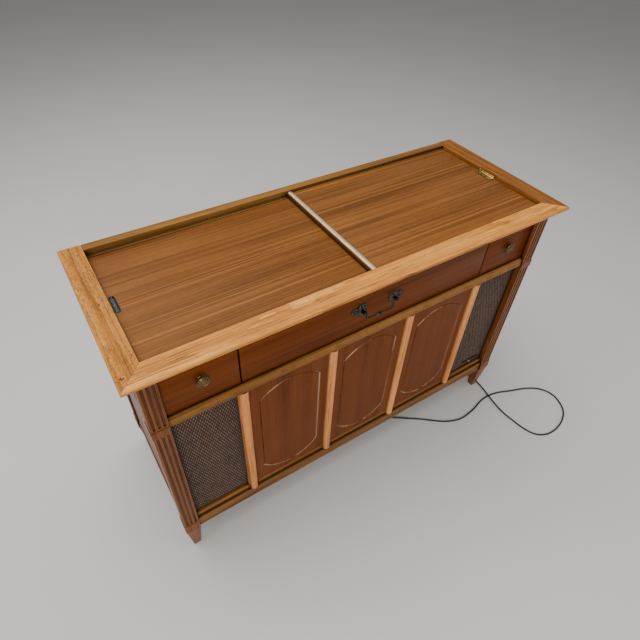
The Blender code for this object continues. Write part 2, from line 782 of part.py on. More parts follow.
def build_grilles():
    bottom, top = BAY_BOTTOM, MID_RAIL_BOTTOM - GAP
    half = GRILLE_WIDTH / 2 - GAP
    for side, name in ((-1, "left"), (1, "right")):
        x = side * GRILLE_X
        cloth = box((x - half, FRONT + CLOTH_FACE, bottom), (x + half, BACKING, top))
        add_piece("grille_cloth_" + name, cloth, "grille_cloth")
        depth = SPEAKER_DEPTH
        profile = [
            (0.0, 0.020),
            (0.013, 0.025),
            (0.051, 0.003),
            (0.056, 0.0),
            (SPEAKER_FLANGE, 0.0),
            (SPEAKER_FLANGE, 0.003),
            (0.058, 0.006),
            (0.035, 0.036),
            (0.035, depth),
            (0.0, depth),
        ]
        centre = (x, BAFFLE_FRONT + BAFFLE_THICKNESS + GAP, SPEAKER_HEIGHT)
        speaker = turned(profile, centre, "Y", 24)
        add_piece("speaker_" + name, speaker, "black_paint", smooth=True)

    baffle = box(
        (-POST_IN + GAP, BAFFLE_FRONT, BASE_TOP + GAP),
        (POST_IN - GAP, BAFFLE_FRONT + BAFFLE_THICKNESS, MID_RAIL_BOTTOM - GAP),
    )
    baffle = add_piece("front_baffle", baffle, "plain_board")
    holes = bmesh.new()
    for side in (-1, 1):
        centre = (side * GRILLE_X, BAFFLE_FRONT - THROUGH, SPEAKER_HEIGHT)
        add_turned(holes, drum(SPEAKER_HOLE, 0.0, BAFFLE_THICKNESS + 2 * THROUGH), centre, "Y", 24)
    cut(baffle, holes)

    x = GRILLE_X + 0.024
    z = BAY_BOTTOM + 0.017
    back = FRONT + CLOTH_FACE - GAP
    lamp = box((x - 0.036, back - 0.003, z), (x + 0.036, back, z + 0.0055), 0.0008)
    lamp = add_piece("pilot_lamp", lamp, "dark_pewter")
    jewel = [(0.0, 0.0), (0.0055, 0.0), (0.0055, 0.0035), (0.0042, 0.0055), (0.0, 0.0070)]
    join(lamp, turned(jewel, (x - 0.008, back, z - 0.0025), "-Y", 16))


def build_drawer_fronts():
    split = OUTER_COLUMN_X
    reach = POST_IN - GAP
    low, high = MID_RAIL_TOP + GAP, FRAME_BOTTOM - GAP
    spans = (
        ("left", -reach, -split - DRAWER_GAP / 2),
        ("centre", -split + DRAWER_GAP / 2, split - DRAWER_GAP / 2),
        ("right", split + DRAWER_GAP / 2, reach),
    )
    for name, start, end in spans:
        front = box((start, DRAWER_FRONT, low), (end, DRAWER_FRONT + DRAWER_THICKNESS, high), 0.0012)
        add_piece("drawer_front_" + name, front, "drawer_wood")


# ---------------------------------------------------------------- boards inside


def board_outline(back):
    """A board that fills the case and steps in round the two rear posts."""
    wide, narrow = SIDE_IN - GAP, POST_IN - GAP
    return [
        (-wide, BOARD_FRONT),
        (wide, BOARD_FRONT),
        (wide, REAR_POST_FRONT - GAP),
        (narrow, REAR_POST_FRONT - GAP),
        (narrow, back),
        (-narrow, back),
        (-narrow, REAR_POST_FRONT - GAP),
        (-wide, REAR_POST_FRONT - GAP),
    ]


def build_boards():
    back = BACK_IN - GAP
    floor = prism(board_outline(back), "Z", FOOT_HEIGHT, FOOT_HEIGHT + BOARD_THICKNESS)
    add_piece("bottom_board", floor, "plain_board")

    deck = prism(board_outline(back), "Z", DECK_BOTTOM, DECK_TOP)
    deck = add_piece("deck_board", deck, "plain_board")
    openings = bmesh.new()
    motor = PLATTER_CENTRE + DRIVE_LINE * PULLEY_DISTANCE
    hole = drum(MOTOR_RADIUS + MOTOR_CLEARANCE, DECK_BOTTOM - THROUGH, DECK_TOP + THROUGH)
    add_turned(openings, hole, motor)
    half = WELL_LENGTH / 2 + GAP
    middle = (BOARD_FRONT + BACK_IN) / 2
    low = (WELL_LEFT - GAP, middle - half, DECK_BOTTOM - THROUGH)
    high = (WELL_RIGHT + GAP, middle + half, DECK_TOP + THROUGH)
    add_box(openings, low, high)
    cut(deck, openings)

    well_top = FRAME_BOTTOM - 0.001
    low = Vector((WELL_LEFT, middle - WELL_LENGTH / 2, WELL_BOTTOM))
    high = Vector((WELL_RIGHT, middle + WELL_LENGTH / 2, well_top))
    well = add_piece("record_well", box(low, high), "plain_board")
    wall = Vector((WELL_WALL, WELL_WALL, WELL_WALL))
    inner_high = high - wall + Vector((0.0, 0.0, WELL_WALL + THROUGH))
    cut(well, box(low + wall, inner_high))

    reach = POST_IN - GAP
    panel = box((-reach, BACK_IN, FOOT_HEIGHT), (reach, BACK_OUT, FRAME_BOTTOM - GAP))
    panel = add_piece("back_panel", panel, "hardboard")
    vents = bmesh.new()
    for row in range(2):
        for column in range(8):
            x = (column - 3.5) * VENT_PITCH
            z = DECK_BOTTOM - 1.5 * VENT_PITCH - row * VENT_PITCH
            low = (x - VENT_LENGTH / 2, BACK_IN - THROUGH, z - VENT_HEIGHT / 2)
            high = (x + VENT_LENGTH / 2, BACK_OUT + THROUGH, z + VENT_HEIGHT / 2)
            add_box(vents, low, high)
    cut(panel, vents)
    bushing = [
        (0.0, -0.002),
        (0.0080, -0.002),
        (0.0080, 0.003),
        (0.0055, BUSHING_LENGTH),
        (0.0, BUSHING_LENGTH),
    ]
    join(panel, turned(bushing, (CORD_EXIT_X, BACK_OUT, CORD_EXIT_Z), "Y", 16))


# ---------------------------------------------------------------- record changer


def build_changer_base():
    left = PLATTER_CENTRE.x - PLATTER_RADIUS - 0.0075
    right = left + CHANGER_WIDTH
    half = CHANGER_DEPTH / 2
    radius = 0.020
    outline = []
    corners = ((right, half, 0), (left, half, 90), (left, -half, 180), (right, -half, 270))
    for x, y, start in corners:
        centre = (x - math.copysign(radius, x - (left + right) / 2), y - math.copysign(radius, y))
        outline += arc(centre, radius, start, start + 90, 4)
    base = prism(outline, "Z", PLATE_BOTTOM, PLATE_TOP)
    base = add_piece("changer_base", base, "grey_enamel")

    hole = PLATTER_CENTRE + DRIVE_LINE * PULLEY_DISTANCE
    cut(base, turned(drum(SHAFT_HOLE, PLATE_BOTTOM - THROUGH, PLATE_TOP + THROUGH), hole, steps=16))
    fittings = bmesh.new()
    inset = 0.024
    for x in (left + inset, right - inset):
        for y in (-half + inset, half - inset):
            foot = drum(0.008, PLATE_BOTTOM - CHANGER_FEET, PLATE_BOTTOM + CHANGER_PLATE / 2)
            add_turned(fittings, foot, (x, y, 0.0), steps=12)
    rest = drum(0.0040, PLATE_BOTTOM + CHANGER_PLATE / 2, ARM_AXIS_Z - 0.0065)
    add_turned(fittings, rest, (TURRET.x, TURRET.y - ARM_LENGTH * 0.62, 0.0), steps=12)
    join(base, fittings)


def build_drive():
    line = DRIVE_LINE
    pulley = PLATTER_CENTRE + line * PULLEY_DISTANCE
    idler = PLATTER_CENTRE + line * IDLER_DISTANCE
    motor_top = PLATE_BOTTOM - GAP
    profile = [
        (0.0, motor_top - MOTOR_HEIGHT),
        (MOTOR_RADIUS * 0.8, motor_top - MOTOR_HEIGHT),
        (MOTOR_RADIUS, motor_top - MOTOR_HEIGHT * 0.85),
        (MOTOR_RADIUS, motor_top - MOTOR_HEIGHT * 0.15),
        (MOTOR_RADIUS * 0.8, motor_top),
        (0.0, motor_top),
    ]
    add_piece("motor", turned(profile, pulley), "steel", smooth=True)

    tread_low = RIM_BOTTOM + 0.004
    tread_high = tread_low + 0.005
    profile = [
        (0.0, motor_top + GAP),
        (SHAFT_RADIUS, motor_top + GAP),
        (SHAFT_RADIUS, tread_low - 0.001),
        (PULLEY_RADIUS, tread_low - 0.001),
        (PULLEY_RADIUS, tread_high + 0.001),
        (SHAFT_RADIUS, tread_high + 0.002),
        (0.0, tread_high + 0.002),
    ]
    origin = (pulley.x, pulley.y, tread_low)
    add_piece("motor_pulley", turned(profile, pulley, steps=16), "steel", origin, smooth=True)

    profile = [
        (0.0, PLATE_TOP + GAP),
        (0.005, PLATE_TOP + GAP),
        (0.005, tread_low),
        (IDLER_RADIUS, tread_low),
        (IDLER_RADIUS, tread_high),
        (0.005, tread_high),
        (0.005, tread_high + 0.003),
        (0.0, tread_high + 0.003),
    ]
    origin = (idler.x, idler.y, tread_low)
    add_piece("idler_wheel", turned(profile, idler, steps=32), "rubber", origin, smooth=True)


def build_platter():
    skin = PLATTER_TOP - PLATE_SKIN
    bore = SPINDLE_RADIUS + SPINDLE_CLEARANCE
    profile = [
        (bore, PLATTER_TOP),
        (PLATTER_RADIUS - 0.005, PLATTER_TOP),
        (PLATTER_RADIUS, PLATTER_TOP - 0.003),
        (PLATTER_RADIUS, RIM_BOTTOM),
        (RIM_INSIDE, RIM_BOTTOM),
        (RIM_INSIDE, skin),
        (0.016, skin),
        (0.016, skin - 0.005),
        (bore, skin - 0.005),
    ]
    origin = (PLATTER_CENTRE.x, PLATTER_CENTRE.y, PLATTER_TOP)
    platter = turned(profile, PLATTER_CENTRE, steps=56, ring=True)
    add_piece("platter", platter, "cast_metal", origin, smooth=True)

    seat = skin - 0.005 - GAP
    tip = PLATTER_TOP + SPINDLE_RISE
    profile = [
        (0.0, PLATE_TOP + GAP),
        (0.012, PLATE_TOP + GAP),
        (0.012, PLATE_TOP + 0.003),
        (0.0085, PLATE_TOP + 0.004),
        (0.0085, seat),
        (SPINDLE_RADIUS, seat),
        (SPINDLE_RADIUS, tip - 0.004),
        (0.0, tip),
    ]
    add_piece("spindle", turned(profile, PLATTER_CENTRE, steps=16), "chrome", smooth=True)


def build_tonearm():
    x, y = TURRET.x, TURRET.y
    yoke_bottom = PLATTER_TOP - 0.004
    profile = [
        (0.0, PLATE_TOP + GAP),
        (0.019, PLATE_TOP + GAP),
        (0.019, PLATE_TOP + 0.004),
        (0.016, PLATE_TOP + 0.006),
        (0.014, yoke_bottom),
        (0.0, yoke_bottom),
    ]
    turret = turned(profile, (x, y, 0.0), steps=20)
    turret = add_piece("tonearm_turret", turret, "ivory_plastic", (x, y, PLATE_TOP), smooth=True)
    ears = bmesh.new()
    inner = ARM_HALF + 0.0006
    for side in (-1, 1):
        low = (min(side * inner, side * (inner + 0.0028)), -0.0065, yoke_bottom - 0.004)
        high = (max(side * inner, side * (inner + 0.0028)), 0.0065, ARM_AXIS_Z + 0.006)
        add_box(ears, Vector(low) + Vector((x, y, 0)), Vector(high) + Vector((x, y, 0)))
    join(turret, ears)

    half = ARM_HALF
    outline = [
        (-half, 0.032),
        (half, 0.032),
        (half, -0.020),
        (0.0058, -ARM_LENGTH * 0.72),
        (0.0095, -ARM_LENGTH * 0.82),
        (0.0095, -ARM_LENGTH + 0.003),
        (0.0070, -ARM_LENGTH),
        (-0.0070, -ARM_LENGTH),
        (-0.0095, -ARM_LENGTH + 0.003),
        (-0.0095, -ARM_LENGTH * 0.82),
        (-0.0058, -ARM_LENGTH * 0.72),
        (-half, -0.020),
    ]
    outline = [(x + a, y + b) for a, b in outline]
    low, high = ARM_AXIS_Z - 0.006, ARM_AXIS_Z + 0.006
    arm = prism(outline, "Z", low, high)
    arm = add_piece("tonearm", arm, "ivory_plastic", (x, y, ARM_AXIS_Z))
    tip = y - ARM_LENGTH + 0.004
    join(arm, box((x - 0.0075, tip, PLATTER_TOP + 0.0025), (x + 0.0075, tip + 0.024, low + 0.002)))

    outline = arc((LEVER.x, LEVER.y), 0.009, 20, 340, 14)
    outline += arc((LEVER.x + 0.028, LEVER.y), 0.004, -70, 70, 6)
    lever = prism(outline, "Z", PLATE_TOP + GAP, PLATE_TOP + 0.008)
    origin = (LEVER.x, LEVER.y, PLATE_TOP)
    add_piece("changer_lever", lever, "ivory_plastic", origin, smooth=True)


# ---------------------------------------------------------------- tuner


def build_tuner():
    back = BACK_IN - GAP
    foot = DECK_TOP + GAP
    outline = [
        (PANEL_LEFT, foot),
        (PANEL_LEFT, PANEL_TOP),
        (PANEL_RIGHT, PANEL_TOP),
        (PANEL_RIGHT, foot),
        (PANEL_RIGHT - PANEL_WALL, foot),
        (PANEL_RIGHT - PANEL_WALL, PANEL_BOTTOM),
        (PANEL_LEFT + PANEL_WALL, PANEL_BOTTOM),
        (PANEL_LEFT + PANEL_WALL, foot),
    ]
    panel = add_piece("control_panel", prism(outline, "Y", BOARD_FRONT, back), "panel_wood")
    half_x, half_y = DIAL_WIDTH / 2, DIAL_DEPTH / 2
    middle = Vector((PANEL_X, DIAL_CENTRE_Y, 0.0))
    for grow, bottom in ((0.0, DIAL_FLOOR), (DIAL_LEDGE, DIAL_SEAT)):
        low = middle + Vector((-half_x - grow, -half_y - grow, bottom))
        high = middle + Vector((half_x + grow, half_y + grow, PANEL_TOP + THROUGH))
        cut(panel, box(low, high))
    half_x, half_y = half_x + DIAL_LEDGE, half_y + DIAL_LEDGE

    low = middle + Vector((GAP - half_x, GAP - half_y, DIAL_SEAT + GAP))
    high = middle + Vector((half_x - GAP, half_y - GAP, PANEL_TOP + 0.0012))
    add_piece("dial_glass", box(low, high, 0.0006), "glass")
    low = middle + Vector((-0.0008, GAP - DIAL_DEPTH / 2, DIAL_FLOOR + GAP))
    high = middle + Vector((0.0008, DIAL_DEPTH / 2 - GAP, DIAL_SEAT - GAP))
    add_piece("dial_pointer", box(low, high), "dial_red", middle + Vector((0, 0, DIAL_FLOOR)))

    spots = (
        ("tuning_knob", PANEL_X + 0.075, TUNING_RADIUS, 0.020),
        ("tone_knob", PANEL_X - 0.020, SMALL_KNOB_RADIUS, 0.018),
        ("volume_knob", PANEL_X - 0.085, SMALL_KNOB_RADIUS, 0.018),
    )
    for name, x, radius, height in spots:
        foot = PANEL_TOP + GAP
        profile = [
            (0.0, foot),
            (radius, foot),
            (radius, foot + 0.003),
            (radius * 0.86, foot + 0.005),
            (radius * 0.80, foot + height - 0.002),
            (radius * 0.66, foot + height),
            (0.0, foot + height - 0.001),
        ]
        knob = turned(profile, (x, KNOB_LINE_Y, 0.0), steps=24)
        add_piece(name, knob, "brown_plastic", (x, KNOB_LINE_Y, PANEL_TOP), smooth=True)

    low = Vector((PANEL_LEFT + 0.030, -0.115, DECK_TOP + GAP))
    high = Vector((PANEL_RIGHT - 0.030, 0.130, DECK_TOP + 0.046))
    chassis = add_piece("radio_chassis", box(low, high, 0.001), "steel")
    valves = bmesh.new()
    for i in range(5):
        x = low.x + 0.028 + i * 0.040
        add_turned(valves, drum(0.010, high.z - 0.004, high.z + 0.036), (x, 0.095, 0.0), steps=12)
    transformer = (low.x + 0.020, 0.010, high.z - 0.004)
    add_box(valves, transformer, (low.x + 0.070, 0.062, high.z + 0.034))
    join(chassis, valves)


# ---------------------------------------------------------------- metalwork


def leaf_outline(x):
    """A scrolled back plate: three lobes outwards, a waist, and a point inwards."""
    points = []
    for i in range(40):
        angle = math.tau * i / 40
        swell = 1.0 + 0.20 * math.cos(3 * angle)
        swell += 0.05 * math.cos(9 * angle) - 0.10 * math.cos(6 * angle)
        across = LEAF_HALF * 0.86 * swell * math.cos(angle)
        up = LEAF_HEIGHT / 2 * 0.92 * swell * math.sin(angle)
        points.append((x + across, PULL_Z + up))
    return points


def build_bail_pull():
    face = DRAWER_FRONT - GAP
    axis_y = face - BOSS_REACH + BOSS_RADIUS
    for side, name in ((-1, "left"), (1, "right")):
        plate_x = BOSS_HALF + 0.0045
        outline = [(side * a, b) for a, b in leaf_outline(plate_x)]
        plate = prism(outline, "Y", face - LEAF_THICKNESS, face)
        plate = add_piece("pull_plate_" + name, plate, "dark_pewter")
        reach = BOSS_REACH
        profile = [
            (0.0, 0.001),
            (0.0075, 0.001),
            (0.0060, LEAF_THICKNESS + 0.002),
            (BOSS_RADIUS * 0.8, 0.0075),
            (BOSS_RADIUS, reach - BOSS_RADIUS * 1.5),
            (BOSS_RADIUS, reach - BOSS_RADIUS * 0.5),
            (BOSS_RADIUS * 0.6, reach),
            (0.0, reach + 0.0006),
        ]
        join(plate, turned(profile, (side * BOSS_HALF, face, PULL_Z), "-Y", 16))
        bore = turned(drum(PIN_HOLE, -0.0010, 0.0075), (side * BOSS_HALF, axis_y, PULL_Z), "X", 12)
        bmesh.ops.translate(bore, verts=bore.verts, vec=(-0.0070 if side > 0 else 0.0005, 0, 0))
        cut(plate, bore)

    points, radii = [], []
    pin_end = BOSS_HALF - 0.0005
    bend = 0.006
    side_points = [(pin_end, 0.0), (BAIL_HALF + 0.0010, 0.0)]
    side_points += [(BAIL_HALF - 0.0012, -0.0022), (BAIL_HALF - 0.0005, -0.0070)]
    side_points += [(BAIL_HALF - 0.0005, -BAIL_DROP + bend)]
    side_points += [(BAIL_HALF - 0.0025, -BAIL_DROP + 0.0015), (BAIL_HALF - bend - 0.002, -BAIL_DROP)]
    swell = [BAIL_RADIUS * f for f in (0.85, 0.85, 0.95, 1.0, 1.1, 1.2, 1.1)]
    for (across, drop), radius in zip(side_points, swell):
        points.append((-across, axis_y, PULL_Z + drop))
        radii.append(radius)
    for across, radius in ((0.018, 0.0018), (0.009, 0.0022), (0.0065, 0.0032), (0.003, 0.0042)):
        points.append((-across, axis_y, PULL_Z - BAIL_DROP))
        radii.append(radius)
    points += [(-a, b, c) for a, b, c in reversed(points)]
    radii += radii[::-1]
    origin = (0.0, axis_y, PULL_Z)
    add_piece("bail_handle", tube(points, radii, 10), "dark_pewter", origin, smooth=True)


def build_drawer_knobs():
    x = (POST_IN + OUTER_COLUMN_X) / 2
    face = DRAWER_FRONT - GAP
    radius, reach = KNOB_RADIUS, KNOB_REACH
    profile = [
        (0.0, 0.0),
        (radius * 0.72, 0.0),
        (radius * 0.72, 0.0015),
        (radius * 0.50, 0.0035),
        (radius * 0.50, reach - 0.0085),
        (radius * 0.92, reach - 0.0065),
        (radius, reach - 0.0045),
        (radius * 0.92, reach - 0.0020),
        (radius * 0.55, reach - 0.0006),
        (0.0, reach),
    ]
    for side, name in ((-1, "left"), (1, "right")):
        knob = turned(profile, (side * x, face, PULL_Z), "-Y", 24)
        add_piece("drawer_knob_" + name, knob, "antique_brass", smooth=True)


# ---------------------------------------------------------------- lids


def build_lids():
    left = -OPEN_X + SIDE_PLAY
    right = LID_MEETING + LID_OVERLAP
    inset = LEDGE_WIDTH + SIDE_PLAY
    low = (left, OPEN_FRONT + inset, LOWER_LID_TOP - LID_THICKNESS)
    high = (right, OPEN_BACK - inset, LOWER_LID_TOP)
    lid = add_piece("lid_left", box(low, high, 0.0007), "lid_wood")
    cup_x = left + CUP_INSET + CUP_WIDTH / 2
    pocket = stadium((cup_x, CUP_CENTRE_Y), CUP_LENGTH + 2 * GAP, CUP_WIDTH + 2 * GAP)
    cut(lid, prism(pocket, "Z", LOWER_LID_TOP - CUP_DEPTH - GAP, LOWER_LID_TOP + THROUGH))

    rim = LOWER_LID_TOP + GAP
    outline = stadium((cup_x, CUP_CENTRE_Y), CUP_LENGTH, CUP_WIDTH)
    cup = prism(outline, "Z", LOWER_LID_TOP - CUP_DEPTH, rim)
    cup = add_piece("lid_pull_left", cup, "dark_pewter")
    inside = stadium((cup_x, CUP_CENTRE_Y), CUP_LENGTH - 2 * CUP_WALL, CUP_WIDTH - 2 * CUP_WALL)
    cut(cup, prism(inside, "Z", LOWER_LID_TOP - CUP_DEPTH + CUP_WALL, rim + THROUGH))

    start = LID_MEETING + TRIM_WIDTH + GAP
    end = OPEN_X - LID_END_GAP
    front, back = OPEN_FRONT + SIDE_PLAY, OPEN_BACK - SIDE_PLAY
    lid = box((start, front, UPPER_LID_TOP - LID_THICKNESS), (end, back, UPPER_LID_TOP), 0.0007)
    add_piece("lid_right", lid, "lid_wood")

    bottom = UPPER_LID_TOP - LID_THICKNESS
    shoulder = UPPER_LID_TOP - 0.001
    middle = LID_MEETING + TRIM_WIDTH / 2
    outline = [(LID_MEETING, bottom), (LID_MEETING, shoulder)]
    for i in range(1, 8):
        angle = math.pi * (1 - i / 8)
        rise = (TRIM_RISE + 0.001) * math.sin(angle)
        outline.append((middle + TRIM_WIDTH / 2 * math.cos(angle), shoulder + rise))
    outline += [(LID_MEETING + TRIM_WIDTH, shoulder), (LID_MEETING + TRIM_WIDTH, bottom)]
    trim = prism(outline, "Y", front, back)
    add_piece("lid_edge_trim", trim, "champagne_metal", smooth=True)

    base = UPPER_LID_TOP + GAP
    outline = [
        (end - LIFT_WIDTH, base),
        (end - LIFT_WIDTH, base + LIFT_SHEET),
        (end - LIFT_SHEET - 0.0030, base + LIFT_SHEET),
        (end - LIFT_SHEET - 0.0012, base + LIFT_SHEET + 0.0014),
        (end - LIFT_SHEET, base + LIFT_HEIGHT),
        (end + 0.0004, base + LIFT_HEIGHT),
        (end, base),
    ]
    half = CUP_LENGTH / 2
    lift = prism(outline, "Y", CUP_CENTRE_Y - half, CUP_CENTRE_Y + half)
    add_piece("lid_pull_right", lift, "antique_brass")


# ---------------------------------------------------------------- cord


def smooth_route(route, count):
    """Points evenly along a Catmull-Rom curve through the route's points."""
    knots = [Vector(p) for p in route]
    knots = [2 * knots[0] - knots[1]] + knots + [2 * knots[-1] - knots[-2]]
    fine = []
    for i in range(1, len(knots) - 2):
        p0, p1, p2, p3 = knots[i - 1 : i + 3]
        for k in range(24):
            t = k / 24
            bend = 2 * p0 - 5 * p1 + 4 * p2 - p3
            twist = 3 * p1 - p0 - 3 * p2 + p3
            fine.append((2 * p1 + (p2 - p0) * t + bend * t * t + twist * t**3) / 2)
    fine.append(knots[-2])
    reach = [0.0]
    for one, other in zip(fine, fine[1:]):
        reach.append(reach[-1] + (other - one).length)
    points, spot = [], 0
    for i in range(count):
        target = reach[-1] * i / (count - 1)
        while spot < len(reach) - 2 and reach[spot + 1] < target:
            spot += 1
        share = (target - reach[spot]) / (reach[spot + 1] - reach[spot])
        points.append(fine[spot].lerp(fine[spot + 1], share))
    return points


def build_cord():
    curve = bpy.data.curves.new("cord", "CURVE")
    curve.dimensions = "3D"
    curve.bevel_depth = CORD_RADIUS
    curve.bevel_resolution = 2
    curve.use_fill_caps = True
    spline = curve.splines.new("POLY")
    points = smooth_route(CORD_ROUTE, CORD_POINTS)
    spline.points.add(len(points) - 1)
    for slot, point in zip(spline.points, points):
        slot.co = (*point, 1.0)
    cord = bpy.data.objects.new("cord", curve)
    bpy.context.scene.collection.objects.link(cord)
    paint(cord, "brown_plastic")

    end = Vector(CORD_ROUTE[-1])
    start_x = end.x - GAP
    half, tall = PLUG_WIDTH / 2, PLUG_HEIGHT / 2
    z = GAP + tall
    outline = [
        (start_x, end.y - 0.006),
        (start_x, end.y + 0.006),
        (start_x - 0.009, end.y + 0.0075),
        (start_x - 0.014, end.y + half),
        (start_x - PLUG_LENGTH, end.y + half),
        (start_x - PLUG_LENGTH, end.y - half),
        (start_x - 0.014, end.y - half),
        (start_x - 0.009, end.y - 0.0075),
    ]
    plug = prism(outline, "Z", z - tall, z + tall)
    bmesh.ops.bevel(plug, geom=plug.edges, offset=0.0015, segments=1, affect="EDGES", profile=0.5)
    plug = add_piece("plug", plug, "brown_plastic")
    blades = bmesh.new()
    blade_start = start_x - PLUG_LENGTH
    for side in (-1, 1):
        y = end.y + side * 0.00635
        low = (blade_start - BLADE_LENGTH, y - 0.00075, z - 0.0032)
        add_box(blades, low, (blade_start + 0.004, y + 0.00075, z + 0.0032))
    join(plug, blades)


# ---------------------------------------------------------------- the whole console


clear_scene()
build_top_frame()
build_sides()
build_front_rails()
build_columns()
build_arch_panels()
build_grilles()
build_drawer_fronts()
build_boards()
build_changer_base()
build_drive()
build_platter()
build_tonearm()
build_tuner()
build_bail_pull()
build_drawer_knobs()
build_lids()
build_cord()
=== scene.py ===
import json
import math

import bmesh
import bpy
from mathutils import Matrix, Vector

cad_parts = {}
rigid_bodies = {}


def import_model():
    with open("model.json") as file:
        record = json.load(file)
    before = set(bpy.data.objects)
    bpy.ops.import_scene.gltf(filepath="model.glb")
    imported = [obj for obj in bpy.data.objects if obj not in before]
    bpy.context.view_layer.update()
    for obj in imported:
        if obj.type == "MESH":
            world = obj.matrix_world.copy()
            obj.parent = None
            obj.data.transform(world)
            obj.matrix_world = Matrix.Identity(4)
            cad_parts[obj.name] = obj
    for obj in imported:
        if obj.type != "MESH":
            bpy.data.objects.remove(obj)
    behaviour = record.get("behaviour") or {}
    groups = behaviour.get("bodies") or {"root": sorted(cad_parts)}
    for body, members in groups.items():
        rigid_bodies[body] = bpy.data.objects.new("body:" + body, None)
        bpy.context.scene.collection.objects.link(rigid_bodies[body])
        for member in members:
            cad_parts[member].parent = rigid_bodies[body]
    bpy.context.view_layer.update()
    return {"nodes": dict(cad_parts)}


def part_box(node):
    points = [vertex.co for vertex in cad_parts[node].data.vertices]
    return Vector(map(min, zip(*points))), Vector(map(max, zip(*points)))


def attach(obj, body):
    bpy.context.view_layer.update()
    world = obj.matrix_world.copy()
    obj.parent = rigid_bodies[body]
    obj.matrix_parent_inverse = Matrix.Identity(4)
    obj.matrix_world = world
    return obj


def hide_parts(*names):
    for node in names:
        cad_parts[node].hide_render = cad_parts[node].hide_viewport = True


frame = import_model()
nodes = frame["nodes"]

# ---- camera first, then the cord

camera = {
    "place": (-0.6070, -0.8228, 1.4596), "azimuth": 0.6088, "elevation": 0.7790, "roll": 0.0528,
    "lens": 28, "sensor": 36, "near": 0.02,
}


def makeCamera(settings):
    lens = bpy.data.cameras.new("camera")
    lens.lens = settings["lens"]
    lens.sensor_width = settings["sensor"]
    lens.clip_start = settings["near"]
    eye = bpy.data.objects.new("camera", lens)
    bpy.context.scene.collection.objects.link(eye)
    turn, tilt, roll = settings["azimuth"], settings["elevation"], settings["roll"]
    ahead = Vector((math.sin(turn) * math.cos(tilt), math.cos(turn) * math.cos(tilt), -math.sin(tilt)))
    right = Vector((math.cos(turn), -math.sin(turn), 0.0))
    up = right.cross(ahead)
    side = math.cos(roll) * right + math.sin(roll) * up
    top = math.cos(roll) * up - math.sin(roll) * right
    turned = Matrix((side, top, -ahead)).transposed().to_4x4()
    eye.matrix_world = Matrix.Translation(settings["place"]) @ turned
    bpy.context.scene.camera = eye


makeCamera(camera)
print("camera made")

# ---- shader helpers


def tone(red, green, blue):
    # a colour given as on a screen, made linear
    parts = []
    for value in (red, green, blue):
        share = value / 255
        parts.append(share / 12.92 if share <= 0.04045 else ((share + 0.055) / 1.055) ** 2.4)
    return (*parts, 1.0)


def shade(colour, share, lift=0):
    # a colour as on a screen, made darker or lighter before it is made linear
    return tone(*[min(255, value * share + lift) for value in colour])


def addNode(tree, kind, inputs=None, **settings):
    node = tree.nodes.new(kind)
    for key, value in settings.items():
        setattr(node, key, value)
    for key, value in (inputs or {}).items():
        if isinstance(value, bpy.types.NodeSocket):
            tree.links.new(value, node.inputs[key])
        else:
            node.inputs[key].default_value = value
    return node


def calc(tree, operation, first, second=0.0, third=0.0, clamp=False):
    inputs = {0: first, 1: second}
    if operation in ("MULTIPLY_ADD", "SMOOTH_MIN", "COMPARE"):
        inputs[2] = third
    return addNode(tree, "ShaderNodeMath", inputs, operation=operation, use_clamp=clamp).outputs[0]


def blend(tree, share, first, second, kind="MIX"):
    inputs = {0: share, 6: first, 7: second}
    return addNode(tree, "ShaderNodeMix", inputs, data_type="RGBA", blend_type=kind).outputs[2]


def spread(tree, value, low, high, start=0.0, end=1.0):
    inputs = {"Value": value, "From Min": low, "From Max": high, "To Min": start, "To Max": end}
    return addNode(tree, "ShaderNodeMapRange", inputs, clamp=True).outputs[0]


def newMaterial(name, roughness=0.5, metallic=0.0, **sockets):
    material = bpy.data.materials.new(name)
    material.use_nodes = True
    shader = material.node_tree.nodes["Principled BSDF"]
    shader.inputs["Roughness"].default_value = roughness
    shader.inputs["Metallic"].default_value = metallic
    for key, value in sockets.items():
        shader.inputs[key.replace("_", " ")].default_value = value
    return material, material.node_tree, shader


def mapped(tree, vector, scale=(1, 1, 1), location=(0, 0, 0), rotation=(0, 0, 0)):
    inputs = {"Vector": vector, "Location": location, "Rotation": rotation, "Scale": scale}
    return addNode(tree, "ShaderNodeMapping", inputs).outputs[0]


def ownPlace(tree):
    return addNode(tree, "ShaderNodeTexCoord").outputs["Object"]


def objectPlace(tree, scale=(1, 1, 1), location=(0, 0, 0)):
    return mapped(tree, ownPlace(tree), scale, location)


def noise(tree, vector, scale, detail=3.0, roughness=0.5, distortion=0.0):
    inputs = {
        "Vector": vector, "Scale": scale, "Detail": detail, "Roughness": roughness,
        "Distortion": distortion,
    }
    return addNode(tree, "ShaderNodeTexNoise", inputs).outputs[0]


def bump(tree, shader, height, strength, distance):
    inputs = {"Height": height, "Strength": strength, "Distance": distance}
    tree.links.new(addNode(tree, "ShaderNodeBump", inputs).outputs[0], shader.inputs["Normal"])


def feed(tree, shader, colour, roughness=None):
    tree.links.new(colour, shader.inputs["Base Color"])
    if roughness is not None:
        tree.links.new(roughness, shader.inputs["Roughness"])


def edgeMask(tree, radius):
    # how far the surface turns within a small distance, which is high on edges
    soft = addNode(tree, "ShaderNodeBevel", {"Radius": radius}, samples=4).outputs[0]
    true = addNode(tree, "ShaderNodeNewGeometry").outputs["True Normal"]
    turn = addNode(tree, "ShaderNodeVectorMath", {0: soft, 1: true}, operation="DOT_PRODUCT")
    return spread(tree, turn.outputs["Value"], 0.995, 0.80)


